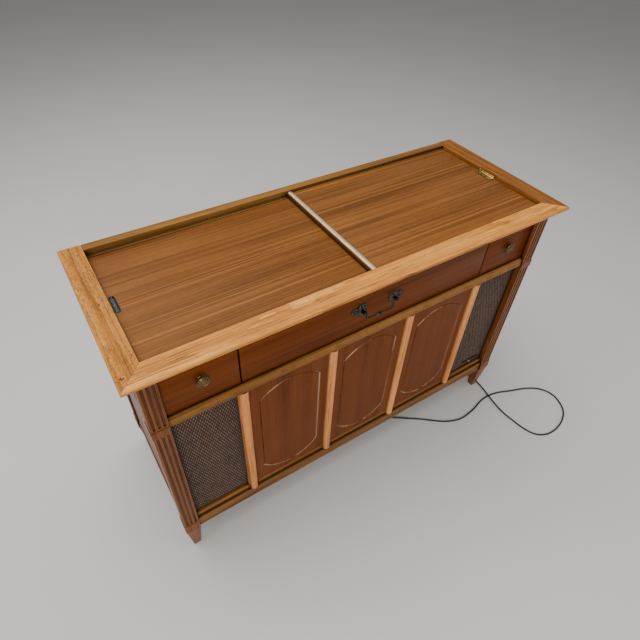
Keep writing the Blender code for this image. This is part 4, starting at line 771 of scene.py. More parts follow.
def makeRelief(settings, start):
    bm = bmesh.new()
    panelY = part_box("back_panel")[0].y + 0.0045
    bore, flange = 0.0029, settings["base"] + 0.001
    profile = [(bore, 0.0), (flange, 0.0), (flange, 0.0014)]
    step = (settings["length"] - 0.002) / settings["ribs"]
    for i in range(settings["ribs"]):
        share = i / settings["ribs"]
        radius = settings["base"] + (settings["tip"] - settings["base"]) * share
        low = 0.002 + share * (settings["length"] - 0.002)
        waist = radius - 0.0009
        profile += [
            (waist, low), (radius, low + step * 0.2), (radius, low + step * 0.7), (waist, low + step * 0.9),
        ]
    profile += [(settings["tip"] - 0.0004, settings["length"]), (bore, settings["length"])]
    centre = (start[0], panelY, start[2])
    addTurned(bm, profile + profile[:1], centre, "Y", 28)
    bmesh.ops.rotate(bm, verts=bm.verts, cent=centre, matrix=Matrix.Rotation(-0.03, 3, "X"))
    newPiece("cordRelief", bm, "cordRubber")


def makeCord(settings):
    curve = bpy.data.curves.new("mainsCord", "CURVE")
    curve.dimensions = "3D"
    curve.bevel_depth = settings["diameter"] / 2
    curve.bevel_resolution = 4
    curve.resolution_u = 6
    curve.use_fill_caps = True
    spline = curve.splines.new("BEZIER")
    spline.bezier_points.add(len(settings["route"]) - 1)
    for slot, point in zip(spline.bezier_points, settings["route"]):
        slot.co = point
        slot.handle_left_type = slot.handle_right_type = "AUTO"
    curve.materials.append(finishes[settings["finish"]])
    flex = bpy.data.objects.new("mainsCord", curve)
    bpy.context.scene.collection.objects.link(flex)
    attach(flex, "cabinet")
    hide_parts("cord")
    carried = makePlug(plug, settings["route"][-1])
    makeRelief(relief, settings["route"][0])


makeCord(cord)
print("cord laid")

# ---- case woodwork

stripBottom = 0.1412
caseWood = {
    "top_rail_front": ("frontRailWood", 0.0009), "top_rail_left": ("sideRailWood", 0.0009),
    "top_rail_right": ("rightRailWood", 0.0007), "top_rail_rear": ("rearRailWood", 0.0009),
    "corner_post_front_left": ("postWood", 0.0006), "corner_post_front_right": ("postWood", 0.0006),
    "corner_post_rear_left": ("postWood", 0.0009), "corner_post_rear_right": ("postWood", 0.0009),
    "side_panel_left": ("postWood", 0.0007), "side_panel_right": ("postWood", 0.0007),
    "mid_rail": ("railWood", 0.0008), "bottom_rail": ("railWood", 0.0007),
    "drawer_front_left": ("drawerWood", 0.0006), "drawer_front_centre": ("drawerWood", 0.0006),
    "drawer_front_right": ("drawerWood", 0.0006),
    "column_1": ("columnWood", 0.0006), "column_2": ("columnWood", 0.0006),
    "column_3": ("columnWood", 0.0006), "column_4": ("columnWood", 0.0006),
}
for node, (finish, edge) in caseWood.items():
    refine(node, finish, edge=edge)
strip = bpy.data.objects[camel("bottom_rail")].data
strip.materials.append(finishes["shadeWood"])
for face in strip.polygons:
    # painted shade: the low step behind the rail's moulding gets the darker copy of the rail wood
    if face.center.z > stripBottom and face.normal.z < 0.5:
        face.material_index = 1
print("case built")

# ---- arched panels

archPanel = {
    "grooveWidth": 0.0048, "grooveDepth": 0.0026, "sideMargin": 0.0238, "topMargin": 0.0305,
    "bottomMargin": 0.0215,
    "topRise": 0.038, "bottomRise": 0.0455, "arcSteps": 40,
}


def archedOutline(x, half, low, high, settings):
    points = []
    spans = (
        (high - settings["topRise"], settings["topRise"], 1),
        (low + settings["bottomRise"], settings["bottomRise"], -1),
    )
    for cornerZ, rise, way in spans:
        radius = (half * half + rise * rise) / (2 * rise)
        swing = math.asin(half / radius)
        centreZ = cornerZ - way * (radius - rise)
        for i in range(settings["arcSteps"] + 1):
            angle = swing * (1 - 2 * i / settings["arcSteps"])
            points.append((x + way * radius * math.sin(angle), centreZ + way * radius * math.cos(angle)))
    return points


def makeArchPanel(node, settings):
    low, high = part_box(node)
    x, half = (low.x + high.x) / 2, (high.x - low.x) / 2
    wide, deep = settings["grooveWidth"] / 2, settings["grooveDepth"]
    bm = bmesh.new()
    outline = archedOutline(
        x, half - settings["sideMargin"] + wide, low.z + settings["bottomMargin"] - wide,
        high.z - settings["topMargin"] + wide, settings,
    )
    field = bm.faces.new([bm.verts.new((a, low.y, b)) for a, b in outline])
    field.normal_update()
    if field.normal.y > 0:
        field.normal_flip()
    bmesh.ops.inset_region(
        bm, faces=[field], thickness=wide, depth=-deep, use_even_offset=True, use_boundary=True,
    )
    bmesh.ops.inset_region(bm, faces=[field], thickness=wide, depth=deep, use_even_offset=True)
    corners = rectangle(x, (low.z + high.z) / 2, half, (high.z - low.z) / 2)
    frameEdges = addLoop(bm, [(a, low.y, b) for a, b in corners])
    rim = [e for e in bm.edges if e.is_boundary and e not in frameEdges]
    bmesh.ops.triangle_fill(bm, edges=rim + frameEdges, use_beauty=True)
    outer = [e for e in bm.edges if e.is_boundary]
    walls = bmesh.ops.extrude_edge_only(bm, edges=outer)["geom"]
    verts = [g for g in walls if isinstance(g, bmesh.types.BMVert)]
    bmesh.ops.translate(bm, verts=verts, vec=(0, high.y - low.y, 0))
    bmesh.ops.contextual_create(bm, geom=[g for g in walls if isinstance(g, bmesh.types.BMEdge)])
    bm.normal_update()
    for face in bm.faces:
        # painted highlight: the groove's walls that face up on its left and to the left on its right get
        # the pale wood, as if lit from the upper left
        lit = face.normal.z if face.calc_center_median().x < x else -face.normal.x
        if abs(face.normal.y) < 0.95 and lit > 0.12:
            face.material_index = 1
    newPiece(camel(node), bm, ("panelWood", "grooveHighlightWood"), stands=(node,), sharp=30)


for node in ("arch_panel_left", "arch_panel_centre", "arch_panel_right"):
    makeArchPanel(node, archPanel)
print("panels grooved")

# ---- grille cloths


def makeCloth(node, settings):
    # a woven sheet wrapped on its board, with crests where threads pass over
    low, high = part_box(node)
    bm = bmesh.new()
    stepsX = round((high.x - low.x) / 0.00095)
    stepsZ = round((high.z - low.z) / 0.0015)
    middle = Matrix.Translation(((low.x + high.x) / 2, low.y + 0.0011, (low.z + high.z) / 2))
    grow = Matrix.Diagonal(((high.x - low.x) / 2, (high.z - low.z) / 2, 1, 1))
    matrix = middle @ Matrix.Rotation(math.pi / 2, 4, "X") @ grow
    bmesh.ops.create_grid(bm, x_segments=stepsX, y_segments=stepsZ, size=1.0, matrix=matrix)
    for vert in bm.verts:
        across = math.cos(math.tau * vert.co.x / settings["pitchX"])
        vert.co.y -= settings["crest"] * across * math.cos(math.tau * vert.co.z / settings["pitchZ"])
    walls = bmesh.ops.extrude_edge_only(bm, edges=[e for e in bm.edges if e.is_boundary])["geom"]
    for vert in [g for g in walls if isinstance(g, bmesh.types.BMVert)]:
        vert.co.y = high.y
    bmesh.ops.contextual_create(bm, geom=[g for g in walls if isinstance(g, bmesh.types.BMEdge)])
    newPiece(camel(node), bm, "grilleCloth", stands=(node,), sharp=60)


for node in ("grille_cloth_left", "grille_cloth_right"):
    makeCloth(node, weave)
print("cloth woven")

# ---- plain inside boards keep the frame's shape

plainNodes = {
    "speaker_left": "blackPaint", "speaker_right": "blackPaint", "motor": "steel", "motor_pulley": "steel",
    "idler_wheel": "rubber", "radio_chassis": "steel", "front_baffle": "plainBoard",
}
for node, finish in plainNodes.items():
    nodes[node].data.materials.clear()
    nodes[node].data.materials.append(finishes[finish])
for node in ("bottom_board", "deck_board", "record_well"):
    refine(node, "plainBoard", edge=0.0005)
refine("back_panel", "hardboard", edge=0.0004)
refine("changer_base", "greyEnamel", edge=0.0010, segments=3)
refine("control_panel", "panelWood", edge=0.0006)

# ---- drawer hardware

bailPull = {
    "axis": (0.0, -0.2003, 0.6694), "pinEnd": 0.047, "half": 0.0405, "drop": 0.0235, "radius": 0.0020,
    "knot": [
        (0.0021, -0.0125), (0.0030, -0.0110), (0.0022, -0.0098), (0.0024, -0.0070), (0.0038, -0.0058),
        (0.0030, -0.0046), (0.0042, -0.0025), (0.0045, 0.0),
    ],
}
leafPlate = {
    "centre": 0.052, "face": -0.1863, "level": 0.6694, "half": 0.025, "height": 0.034, "sheet": 0.0013,
    "boss": 0.0475,
    "lobes": [
        (0.0175, 0.0, 0.0042), (-0.0105, 0.0105, 0.0038), (-0.0105, -0.0105, 0.0038),
        (0.0100, 0.0075, 0.0024), (0.0100, -0.0075, 0.0024),
    ],
    "beads": [
        (0.0225, 0.0030), (0.0225, -0.0030), (-0.0150, 0.0060), (-0.0150, -0.0060), (-0.0050, 0.0135),
        (-0.0050, -0.0135), (0.0040, 0.0060), (0.0040, -0.0060),
    ],
}


def makeBail(settings):
    x, y, z = settings["axis"]
    half, drop, thick = settings["half"], settings["drop"], settings["radius"]
    side = [
        (settings["pinEnd"], 0.0, 0.85), (half + 0.0016, 0.0, 0.85), (half - 0.0008, -0.0024, 0.95),
        (half - 0.0004, -0.0072, 1.0),
        (half - 0.0004, -drop + 0.0062, 1.1), (half - 0.0024, -drop + 0.0016, 1.35),
        (half - 0.0080, -drop, 1.15), (0.022, -drop, 0.80), (0.012, -drop, 0.95),
    ]
    points = [(-across, y, z + down) for across, down, _ in side]
    points += [(across, y, z + down) for across, down, _ in reversed(side)]
    radii = [thick * share for _, _, share in side]
    bm = bmesh.new()
    addRod(bm, points, radii + radii[::-1], 12, 6)
    knot = settings["knot"]
    profile = [(0.0, knot[0][1])] + knot + [(r, -h) for r, h in reversed(knot[:-1])] + [(0.0, -knot[0][1])]
    addTurned(bm, profile, (x, y, z - drop), "X", 24)
    newPiece("bailBar", bm, "pewter", "bail", ("bail_handle",), 50)


def leafPoint(settings, angle, share):
    swell = 1.0 + 0.20 * math.cos(3 * angle) + 0.05 * math.cos(9 * angle) - 0.10 * math.cos(6 * angle)
    across = settings["half"] * 0.85 * swell * math.cos(angle) * share
    return across, settings["height"] / 2 * 0.91 * swell * math.sin(angle) * share


def makePullPlate(side, name, settings):
    bm = bmesh.new()
    centreX, face, level = settings["centre"], settings["face"], settings["level"]
    sheet = settings["sheet"]
    for share, start, end in ((1.0, 0.0, sheet), (0.74, sheet - 0.0001, sheet + 0.0011)):
        points = [leafPoint(settings, math.tau * i / 72, share) for i in range(72)]
        outline = [(side * (centreX + a), level + b) for a, b in points]
        front = addSlab(bm, outline, face - start, face - end, "Y")[1]
        front.normal_update()
        crown(bm, front, 0.0005, (0, -0.0004, 0))
    for a, b, radius in settings["lobes"]:
        centre = (side * (centreX + a), face - sheet - 0.0004, level + b)
        addBall(bm, centre, radius, (1.0, 0.62, 1.0), 9)
    for a, b in settings["beads"]:
        addBall(bm, (side * (centreX + a), face - sheet - 0.0002, level + b), 0.0013, (1, 1, 1), 6)
    for turn in (-1, 1):
        # scrolls curling out of the waist
        curl = []
        for i in range(9):
            angle = math.radians(-60 + i * 42)
            reach = 0.0052 * (1 - i / 11)
            a, b = 0.002 + reach * math.cos(angle), turn * (0.0100 + reach * math.sin(angle))
            curl.append((side * (centreX + a), face - sheet - 0.0012, level + b))
        addRod(bm, curl, [0.0009 - 0.00004 * i for i in range(9)], 8, 3)
    boss = [
        (0.0, 0.0), (0.0078, 0.0), (0.0078, 0.0026), (0.0066, 0.0036), (0.0060, 0.0036), (0.0056, 0.0030),
        (0.0048, 0.0042), (0.0040, 0.0060),
        (0.0038, 0.0078), (0.0044, 0.0092), (0.0046, 0.0125), (0.0045, 0.0150), (0.0040, 0.0168),
        (0.0030, 0.0180), (0.0016, 0.0187), (0.0, 0.0189),
    ]
    addTurned(bm, boss, (side * settings["boss"], face, level), "-Y", 32)
    newPiece(name, bm, "pewter", stands=("pull_plate_" + name[8:].lower(),), sharp=34)


makeBail(bailPull)
makePullPlate(-1, "leafPullLeft", leafPlate)
makePullPlate(1, "leafPullRight", leafPlate)

drawerKnob = {
    "across": 0.4446, "face": -0.1863, "level": 0.6694, "petals": 8,
    "profile": [
        (0.0, 0.0), (0.0106, 0.0), (0.0108, 0.0010), (0.0092, 0.0026), (0.0076, 0.0036), (0.0076, 0.0050),
        (0.0100, 0.0062), (0.0132, 0.0072),
        (0.0147, 0.0082), (0.0150, 0.0092), (0.0147, 0.0103), (0.0136, 0.0113), (0.0124, 0.0113),
        (0.0116, 0.0104), (0.0106, 0.0102),
        (0.0098, 0.0112), (0.0074, 0.0124), (0.0044, 0.0130), (0.0036, 0.0125), (0.0030, 0.0131),
        (0.0, 0.0134),
    ],
}


def makeDrawerKnob(side, name, settings):
    bm = bmesh.new()
    centre = (side * settings["across"], settings["face"], settings["level"])
    addTurned(bm, settings["profile"], centre, "-Y", 48)
    for i in range(settings["petals"]):
        angle = math.tau * (i + 0.5) / settings["petals"]
        spot = (
            centre[0] + 0.0066 * math.cos(angle), centre[1] - 0.0117, centre[2] + 0.0066 * math.sin(angle),
        )
        addBall(bm, spot, 0.0018, (1.0, 0.5, 1.0), 6)
    piece = "drawerKnob" + name.capitalize() + "Turned"
    newPiece(piece, bm, "agedBrass", stands=("drawer_knob_" + name,), sharp=40)


makeDrawerKnob(-1, "left", drawerKnob)
makeDrawerKnob(1, "right", drawerKnob)

# ---- pilot lamp on the right cloth

pilotLamp = {
    "bar": ((0.4394, -0.1833, 0.1750), (0.5113, -0.1803, 0.1805)), "jewel": (0.4673, -0.1803, 0.1775),
}


def makePilotLamp(settings):
    bm = bmesh.new()
    low, high = settings["bar"]
    addBlock(bm, low, high, 0.0009, 3)
    for x in (low[0] + 0.004, high[0] - 0.004):
        addBall(bm, (x, low[1] + 0.0002, (low[2] + high[2]) / 2), 0.0014, (1, 0.5, 1), 8)
    ring = [
        (0.0, 0.0), (0.0055, 0.0), (0.0055, 0.0034), (0.0050, 0.0042), (0.0044, 0.0042), (0.0041, 0.0034),
        (0.0, 0.0034),
    ]
    addTurned(bm, ring, settings["jewel"], "-Y", 32)
    newPiece("pilotBar", bm, "pewter", stands=("pilot_lamp",))
    dome = bmesh.new()
    profile = [(0.0040, 0.0032), (0.0040, 0.0044), (0.0034, 0.0056), (0.0022, 0.0064), (0.0, 0.0068)]
    addTurned(dome, [(0.0, 0.0032)] + profile, settings["jewel"], "-Y", 10)
    newPiece("pilotJewel", dome, "jewel", sharp=12)


makePilotLamp(pilotLamp)
print("hardware fitted")

# ---- lids

refine("lid_left", "lidWood", "left_lid", 0.0005)
refine("lid_right", "lidWood", "right_lid", 0.0005)

lidTrim = {
    "x": (-0.0200, -0.0040), "y": (-0.1755, 0.2055), "bottom": 0.7540, "shoulder": 0.7610, "rise": 0.0050,
}


def makeLidTrim(settings):
    bm = bmesh.new()
    left, right = settings["x"]
    middle, half = (left + right) / 2, (right - left) / 2
    bottom, shoulder, rise = settings["bottom"], settings["shoulder"], settings["rise"]
    outline = [
        (right, shoulder), (right - 0.0002, bottom + 0.0003), (right - 0.0005, bottom),
        (left + 0.0005, bottom), (left, bottom + 0.0005), (left, shoulder),
    ]
    for i in range(1, 16):
        angle = math.pi * (1 - i / 16)
        outline.append((middle + half * math.cos(angle), shoulder + rise * math.sin(angle) ** 0.8))
    start, end = settings["y"]
    caps = addSlab(bm, outline, start, end, "Y")
    for cap, way in zip(caps, (1, -1)):
        bmesh.ops.inset_region(bm, faces=[cap], thickness=0.0004, depth=0.0, use_even_offset=True)
        rim = {v for e in cap.edges for f in e.link_faces for v in f.verts} - set(cap.verts)
        bmesh.ops.translate(bm, verts=list(rim), vec=(0, way * 0.0003, 0))
    newPiece("trimMoulding", bm, "champagne", "right_lid", ("lid_edge_trim",), 50)
    pins = bmesh.new()
    for y in (start + 0.010, end - 0.010):
        # flush countersunk pins near the ends
        head = [(0.0, 0.0), (0.0022, 0.0), (0.0022, 0.0003), (0.0017, 0.0006), (0.0, 0.0006)]
        addTurned(pins, head, (middle, y, shoulder + rise - 0.0003), "Z", 20)
    newPiece("trimPins", pins, "steel", "right_lid")


makeLidTrim(lidTrim)

fingerCup = {
    "centre": (-0.5345, 0.0165), "length": 0.057, "width": 0.013, "top": 0.7528, "depth": 0.0060,
    "wall": 0.0012, "ribs": 11,
}


def makeFingerCup(settings):
    bm = bmesh.new()
    centre, length, width = settings["centre"], settings["length"], settings["width"]
    top, wall = settings["top"], settings["wall"]
    floor = top - settings["depth"]
    rings = (
        (0.0, floor - 0.0002), (0.0, top - 0.0003), (0.0003, top), (wall - 0.0004, top),
        (wall, top - 0.0004), (wall + 0.0010, floor + wall + 0.0012), (wall + 0.0022, floor + wall),
    )
    loops = []
    for inset, z in rings:
        outline = stadium(centre, length - 2 * inset, width - 2 * inset)
        verts = [bm.verts.new((a, b, z)) for a, b in outline]
        loops.append(verts)
    for one, other in zip(loops, loops[1:]):
        for i in range(len(one)):
            bm.faces.new((one[i - 1], one[i], other[i], other[i - 1]))
    bm.faces.new(loops[0])
    bm.faces.new(loops[-1])
    newPiece("fingerCupShell", bm, "blackEnamel", "left_lid", ("lid_pull_left",), 40)
    ribs = bmesh.new()
    pitch = (length - width) / settings["ribs"]
    for i in range(settings["ribs"]):
        y = centre[1] - (length - width) / 2 + (i + 0.5) * pitch
        half, thick = width / 2 - wall - 0.0016, pitch * 0.27
        low = (centre[0] - half, y - thick, floor + wall - 0.0004)
        addBlock(ribs, low, (centre[0] + half, y + thick, floor + wall + 0.0019), 0.0005, 3)
    newPiece("fingerCupRibs", ribs, "cupMetal", "left_lid")


makeFingerCup(fingerCup)

liftTab = {
    "end": 0.5395, "base": 0.7623, "sheet": 0.0014, "width": 0.016, "height": 0.0060,
    "y": (-0.0120, 0.0450), "ribs": 9,
}


def makeLiftTab(settings):
    bm = bmesh.new()
    end, base, sheet = settings["end"], settings["base"], settings["sheet"]
    rise, back = settings["height"], end - settings["width"]
    outline = [
        (back, base), (back, base + sheet), (end - sheet - 0.0034, base + sheet),
        (end - sheet - 0.0020, base + sheet + 0.0006),
        (end - sheet - 0.0012, base + sheet + 0.0018), (end - sheet - 0.0005, base + rise - 0.0008),
        (end - sheet + 0.0001, base + rise), (end + 0.0004, base + rise),
        (end + 0.0004, base + rise - 0.0012), (end, base + 0.0012), (end - 0.0008, base),
    ]
    addSlab(bm, outline, *settings["y"], "Y")
    sharp = [e for e in bm.edges if e.calc_face_angle(0) > math.radians(50)]
    ease(bm, sharp, 0.0004, 2, clamp=True)
    start, stop = settings["y"]
    step = (stop - start - 0.012) / settings["ribs"]
    for i in range(settings["ribs"]):
        y = start + 0.006 + (i + 0.5) * step
        addBall(bm, (back + 0.0036, y, base + sheet), 0.0011, (1, 1, 0.5), 6)
        low = (end - sheet - 0.0016, y - 0.0009, base + sheet + 0.0012)
        addBlock(bm, low, (end - sheet + 0.0002, y + 0.0009, base + rise - 0.0010), 0.0003)
    newPiece("liftTabRight", bm, "liftBrass", "right_lid", ("lid_pull_right",), 40)


makeLiftTab(liftTab)
print("lids fitted")

# ---- record changer

turntable = {
    "centre": (-0.315, 0.0), "radius": 0.133, "top": 0.6396, "rim": 0.6141, "bore": 0.0042, "mat": 0.1245,
    "ribs": 21,
}


def makePlatter(settings):
    x, y = settings["centre"]
    top, low, wide, bore = settings["top"], settings["rim"], settings["radius"], settings["bore"]
    metal = bmesh.new()
    profile = [
        (bore, top - 0.0004), (bore + 0.0006, top), (0.0180, top), (0.0186, top - 0.0006),
        (0.0186, top - 0.0028), (settings["mat"] + 0.0004, top - 0.0028),
        (settings["mat"] + 0.0004, top - 0.0004), (settings["mat"] + 0.0010, top), (wide - 0.0050, top),
        (wide - 0.0018, top - 0.0010), (wide, top - 0.0032),
        (wide, top - 0.0085), (wide - 0.0009, top - 0.0092), (wide - 0.0009, top - 0.0102),
        (wide, top - 0.0109), (wide, low + 0.0006), (wide - 0.0006, low),
        (wide - 0.0050, low), (wide - 0.0050, top - 0.0060), (0.0160, top - 0.0060), (0.0160, top - 0.0110),
        (bore, top - 0.0110),
    ]
    addTurned(metal, profile + profile[:1], (x, y, 0.0), "Z", 160)
    newPiece("platterMetal", metal, "castMetal", "platter", ("platter",), 30)
    mat = bmesh.new()
    inner, outer = 0.0190, settings["mat"]
    outline = [(inner, top - 0.0027), (inner, top - 0.0003)]
    step = (outer - inner) / settings["ribs"]
    for i in range(settings["ribs"]):
        start = inner + i * step
        rib = ((0.18, 0.0003), (0.30, 0.0), (0.62, 0.0), (0.74, 0.0003), (0.86, 0.0012), (0.98, 0.0012))
        outline += [(start + step * share, top - drop) for share, drop in rib]
    outline += [(outer, top - 0.0003), (outer, top - 0.0027)]
    addTurned(mat, outline + outline[:1], (x, y, 0.0), "Z", 128)
    newPiece("platterMat", mat, "rubber", "platter", sharp=50)


makePlatter(turntable)

centrePost = {"centre": (-0.315, 0.0), "base": 0.6104, "top": 0.7276, "seat": 0.6283, "radius": 0.0036}


def makeSpindle(settings):
    bm = bmesh.new()
    x, y = settings["centre"]
    base, seat, top, thin = settings["base"], settings["seat"], settings["top"], settings["radius"]
    profile = [
        (0.0, base), (0.0120, base), (0.0120, base + 0.0026), (0.0110, base + 0.0032),
        (0.0085, base + 0.0038), (0.0085, seat - 0.0008), (0.0080, seat), (thin, seat),
        (thin, top - 0.0240), (thin - 0.0005, top - 0.0235), (thin - 0.0005, top - 0.0215),
        (thin, top - 0.0210), (thin, top - 0.0052), (thin * 0.86, top - 0.0028),
        (thin * 0.55, top - 0.0010), (0.0, top - 0.0002),
    ]
    addTurned(bm, profile, (x, y, 0.0), "Z", 32)
    low = (x + thin - 0.0010, y - 0.0008, top - 0.0300)
    addBlock(bm, low, (x + thin + 0.0016, y + 0.0008, top - 0.0262), 0.0004)
    newPiece("spindlePost", bm, "chrome", stands=("spindle",))


makeSpindle(centrePost)

plateTop = 0.6101
pickup = {
    "pivot": (-0.140, 0.105), "plate": plateTop, "yoke": 0.6356, "axis": 0.6516,
    "length": 0.205, "half": 0.0085, "head": 0.0095, "ear": 0.0091,
}


def makeTurret(settings):
    bm = bmesh.new()
    x, y = settings["pivot"]
    plate, yoke, axis = settings["plate"], settings["yoke"], settings["axis"]
    profile = [
        (0.0, plate + 0.0003), (0.0190, plate + 0.0003), (0.0190, plate + 0.0030), (0.0184, plate + 0.0040),
        (0.0166, plate + 0.0052), (0.0158, plate + 0.0070),
        (0.0150, plate + 0.0120), (0.0150, yoke - 0.0030), (0.0146, yoke - 0.0010), (0.0134, yoke),
        (0.0, yoke),
    ]
    addTurned(bm, profile, (x, y, 0.0), "Z", 48)
    for side in (-1, 1):
        inner, outer = side * settings["ear"], side * (settings["ear"] + 0.0028)
        outline = [
            (y - 0.0065, yoke - 0.004), (y + 0.0065, yoke - 0.004),
        ] + arcPoints((y, axis), 0.0060, 0, 180, 12)
        addSlab(bm, outline, x + inner, x + outer, "X")
    newPiece("turretBody", bm, "ivoryPlastic", "turret", ("tonearm_turret",), 35)
    caps = bmesh.new()
    for side in (-1, 1):
        start = x + side * (settings["ear"] + 0.0022)
        head = [(0.0, 0.0), (0.0028, 0.0), (0.0028, 0.0008), (0.0020, 0.0012), (0.0, 0.0012)]
        addTurned(caps, head, (start if side > 0 else start - 0.0012, y, axis), "X", 20)
    newPiece("turretCaps", caps, "chrome", "turret")


def makeTonearm(settings):
    x, y = settings["pivot"]
    axis, length, half, head = settings["axis"], settings["length"], settings["half"], settings["head"]
    # sections along the arm: distance forward, half width, bottom and top
    sections = [
        (-0.0320, half * 0.80, -0.0045, 0.0040), (-0.0300, half, -0.0058, 0.0055),
        (-0.0080, half, -0.0060, 0.0060), (0.0200, half, -0.0060, 0.0060),
        (0.0700, 0.0074, -0.0052, 0.0052),
        (length * 0.72, 0.0058, -0.0046, 0.0044), (length * 0.775, 0.0066, -0.0052, 0.0046),
        (length * 0.82, head, -0.0060, 0.0052), (length * 0.90, head, -0.0060, 0.0056),
        (length - 0.0040, head, -0.0058, 0.0050), (length - 0.0008, 0.0078, -0.0048, 0.0036),
        (length, 0.0062, -0.0036, 0.0022),
    ]
    bm = bmesh.new()
    loops = []
    for forward, wide, low, high in sections:
        topRadius = 0.56 * min(wide, (high - low) / 2)
        corners = []
        for across, up, start in ((1, 1, 0), (-1, 1, 90), (-1, -1, 180), (1, -1, 270)):
            radius = topRadius if up > 0 else topRadius / 2
            centre = (across * (wide - radius), high - radius if up > 0 else low + radius)
            corners += arcPoints(centre, radius, start, start + 90, 4)
        loops.append(addLoop(bm, [(x + a, y - forward, axis + b) for a, b in corners]))
    bridgeAll(bm, loops)
    bmesh.ops.holes_fill(bm, edges=loops[0] + loops[-1], sides=0)
    newPiece("tonearmShell", bm, "ivoryPlastic", "tonearm", ("tonearm",), 40)
    parts = bmesh.new()
    tip = y - length + 0.004
    addBlock(parts, (x - 0.0068, tip + 0.001, 0.6430), (x + 0.0068, tip + 0.022, 0.6472), 0.0006)
    addRod(parts, [(x, tip + 0.004, 0.6434), (x, tip + 0.0036, 0.6422)], [0.0006, 0.0002], 8, 2)
    newPiece("cartridge", parts, "rubber", "tonearm")
    lift = bmesh.new()
    bend = [(0.0070, 0.012, 0.001), (0.0092, 0.012, 0.001), (0.0094, 0.004, 0.002), (0.0094, -0.001, 0.003)]
    addRod(lift, [(x + a, tip + b, axis + c) for a, b, c in bend], [0.0009] * len(bend), 8, 3)
    newPiece("fingerLift", lift, "chrome", "tonearm")


lever = {"pivot": (-0.134, -0.124), "plate": plateTop, "hub": 0.009, "length": 0.028, "tip": 0.004}


def makeLever(settings):
    bm = bmesh.new()
    x, y = settings["pivot"]
    plate = settings["plate"]
    outline = arcPoints((x, y), settings["hub"], 20, 340, 28)
    outline += arcPoints((x + settings["length"], y), settings["tip"], -70, 70, 12)
    front = addSlab(bm, outline, plate + 0.0003, plate + 0.0072, "Z")[1]
    crown(bm, front, 0.0008, (0, 0, 0.0007))
    newPiece("leverArm", bm, "ivoryPlastic", "changer_lever", ("changer_lever",), 35)
    screw = bmesh.new()
    head = [(0.0, 0.0), (0.0034, 0.0), (0.0034, 0.0003), (0.0, 0.0003)]
    addTurned(screw, head, (x, y, plate + 0.0076), "Z", 24)
    newPiece("leverScrew", screw, "chrome", "changer_lever")


makeTurret(pickup)
makeTonearm(pickup)
makeLever(lever)
print("changer built")

# ---- tuner

tunerPanel = {
    "x": 0.1416, "y": 0.045, "top": 0.6958, "floor": 0.6918, "seat": 0.6938, "length": 0.200,
    "depth": 0.052, "ledge": 0.002,
}


def makeDial(settings):
    x, y, top = settings["x"], settings["y"], settings["top"]
    halfX, halfY = settings["length"] / 2, settings["depth"] / 2
    floor, seat = settings["floor"], settings["seat"]
    scale = bmesh.new()
    low = (x - halfX + 0.0004, y - halfY + 0.0004, floor)
    addBlock(scale, low, (x + halfX - 0.0004, y + halfY - 0.0004, floor + 0.00025))
    newPiece("dialScale", scale, "dialFace")
    glass = bmesh.new()
    wide, deep = halfX + settings["ledge"] - 0.0003, halfY + settings["ledge"] - 0.0003
    addBlock(glass, (x - wide, y - deep, seat + 0.0003), (x + wide, y + deep, top + 0.0010), 0.0007, 3)
    newPiece("dialWindow", glass, "clearGlass", stands=("dial_glass",))
    bezel = bmesh.new()
    loops = []
    for margin, z in ((0.0042, top), (0.0042, top + 0.0010), (0.0002, top + 0.0014), (0.0002, top)):
        loops.append(addLoop(bezel, [(a, b, z) for a, b in rectangle(x, y, wide + margin, deep + margin)]))
    bridgeAll(bezel, loops + loops[:1])
    newPiece("dialBezel", bezel, "liftBrass", sharp=20)
    needle = bmesh.new()
    low = (x - 0.0007, y - halfY + 0.0010, floor + 0.0005)
    addBlock(needle, low, (x + 0.0007, y + halfY - 0.0010, seat - 0.0003), 0.0003)
    newPiece("dialNeedle", needle, "redEnamel", "dial_pointer", ("dial_pointer",))


makeDial(tunerPanel)

knobs = {
    "tuning_knob": {"centre": (0.2166, -0.085, 0.6961), "radius": 0.021, "height": 0.020, "flutes": 36},
    "tone_knob": {"centre": (0.1216, -0.085, 0.6961), "radius": 0.014, "height": 0.018, "flutes": 24},
    "volume_knob": {"centre": (0.0566, -0.085, 0.6961), "radius": 0.014, "height": 0.018, "flutes": 24},
}


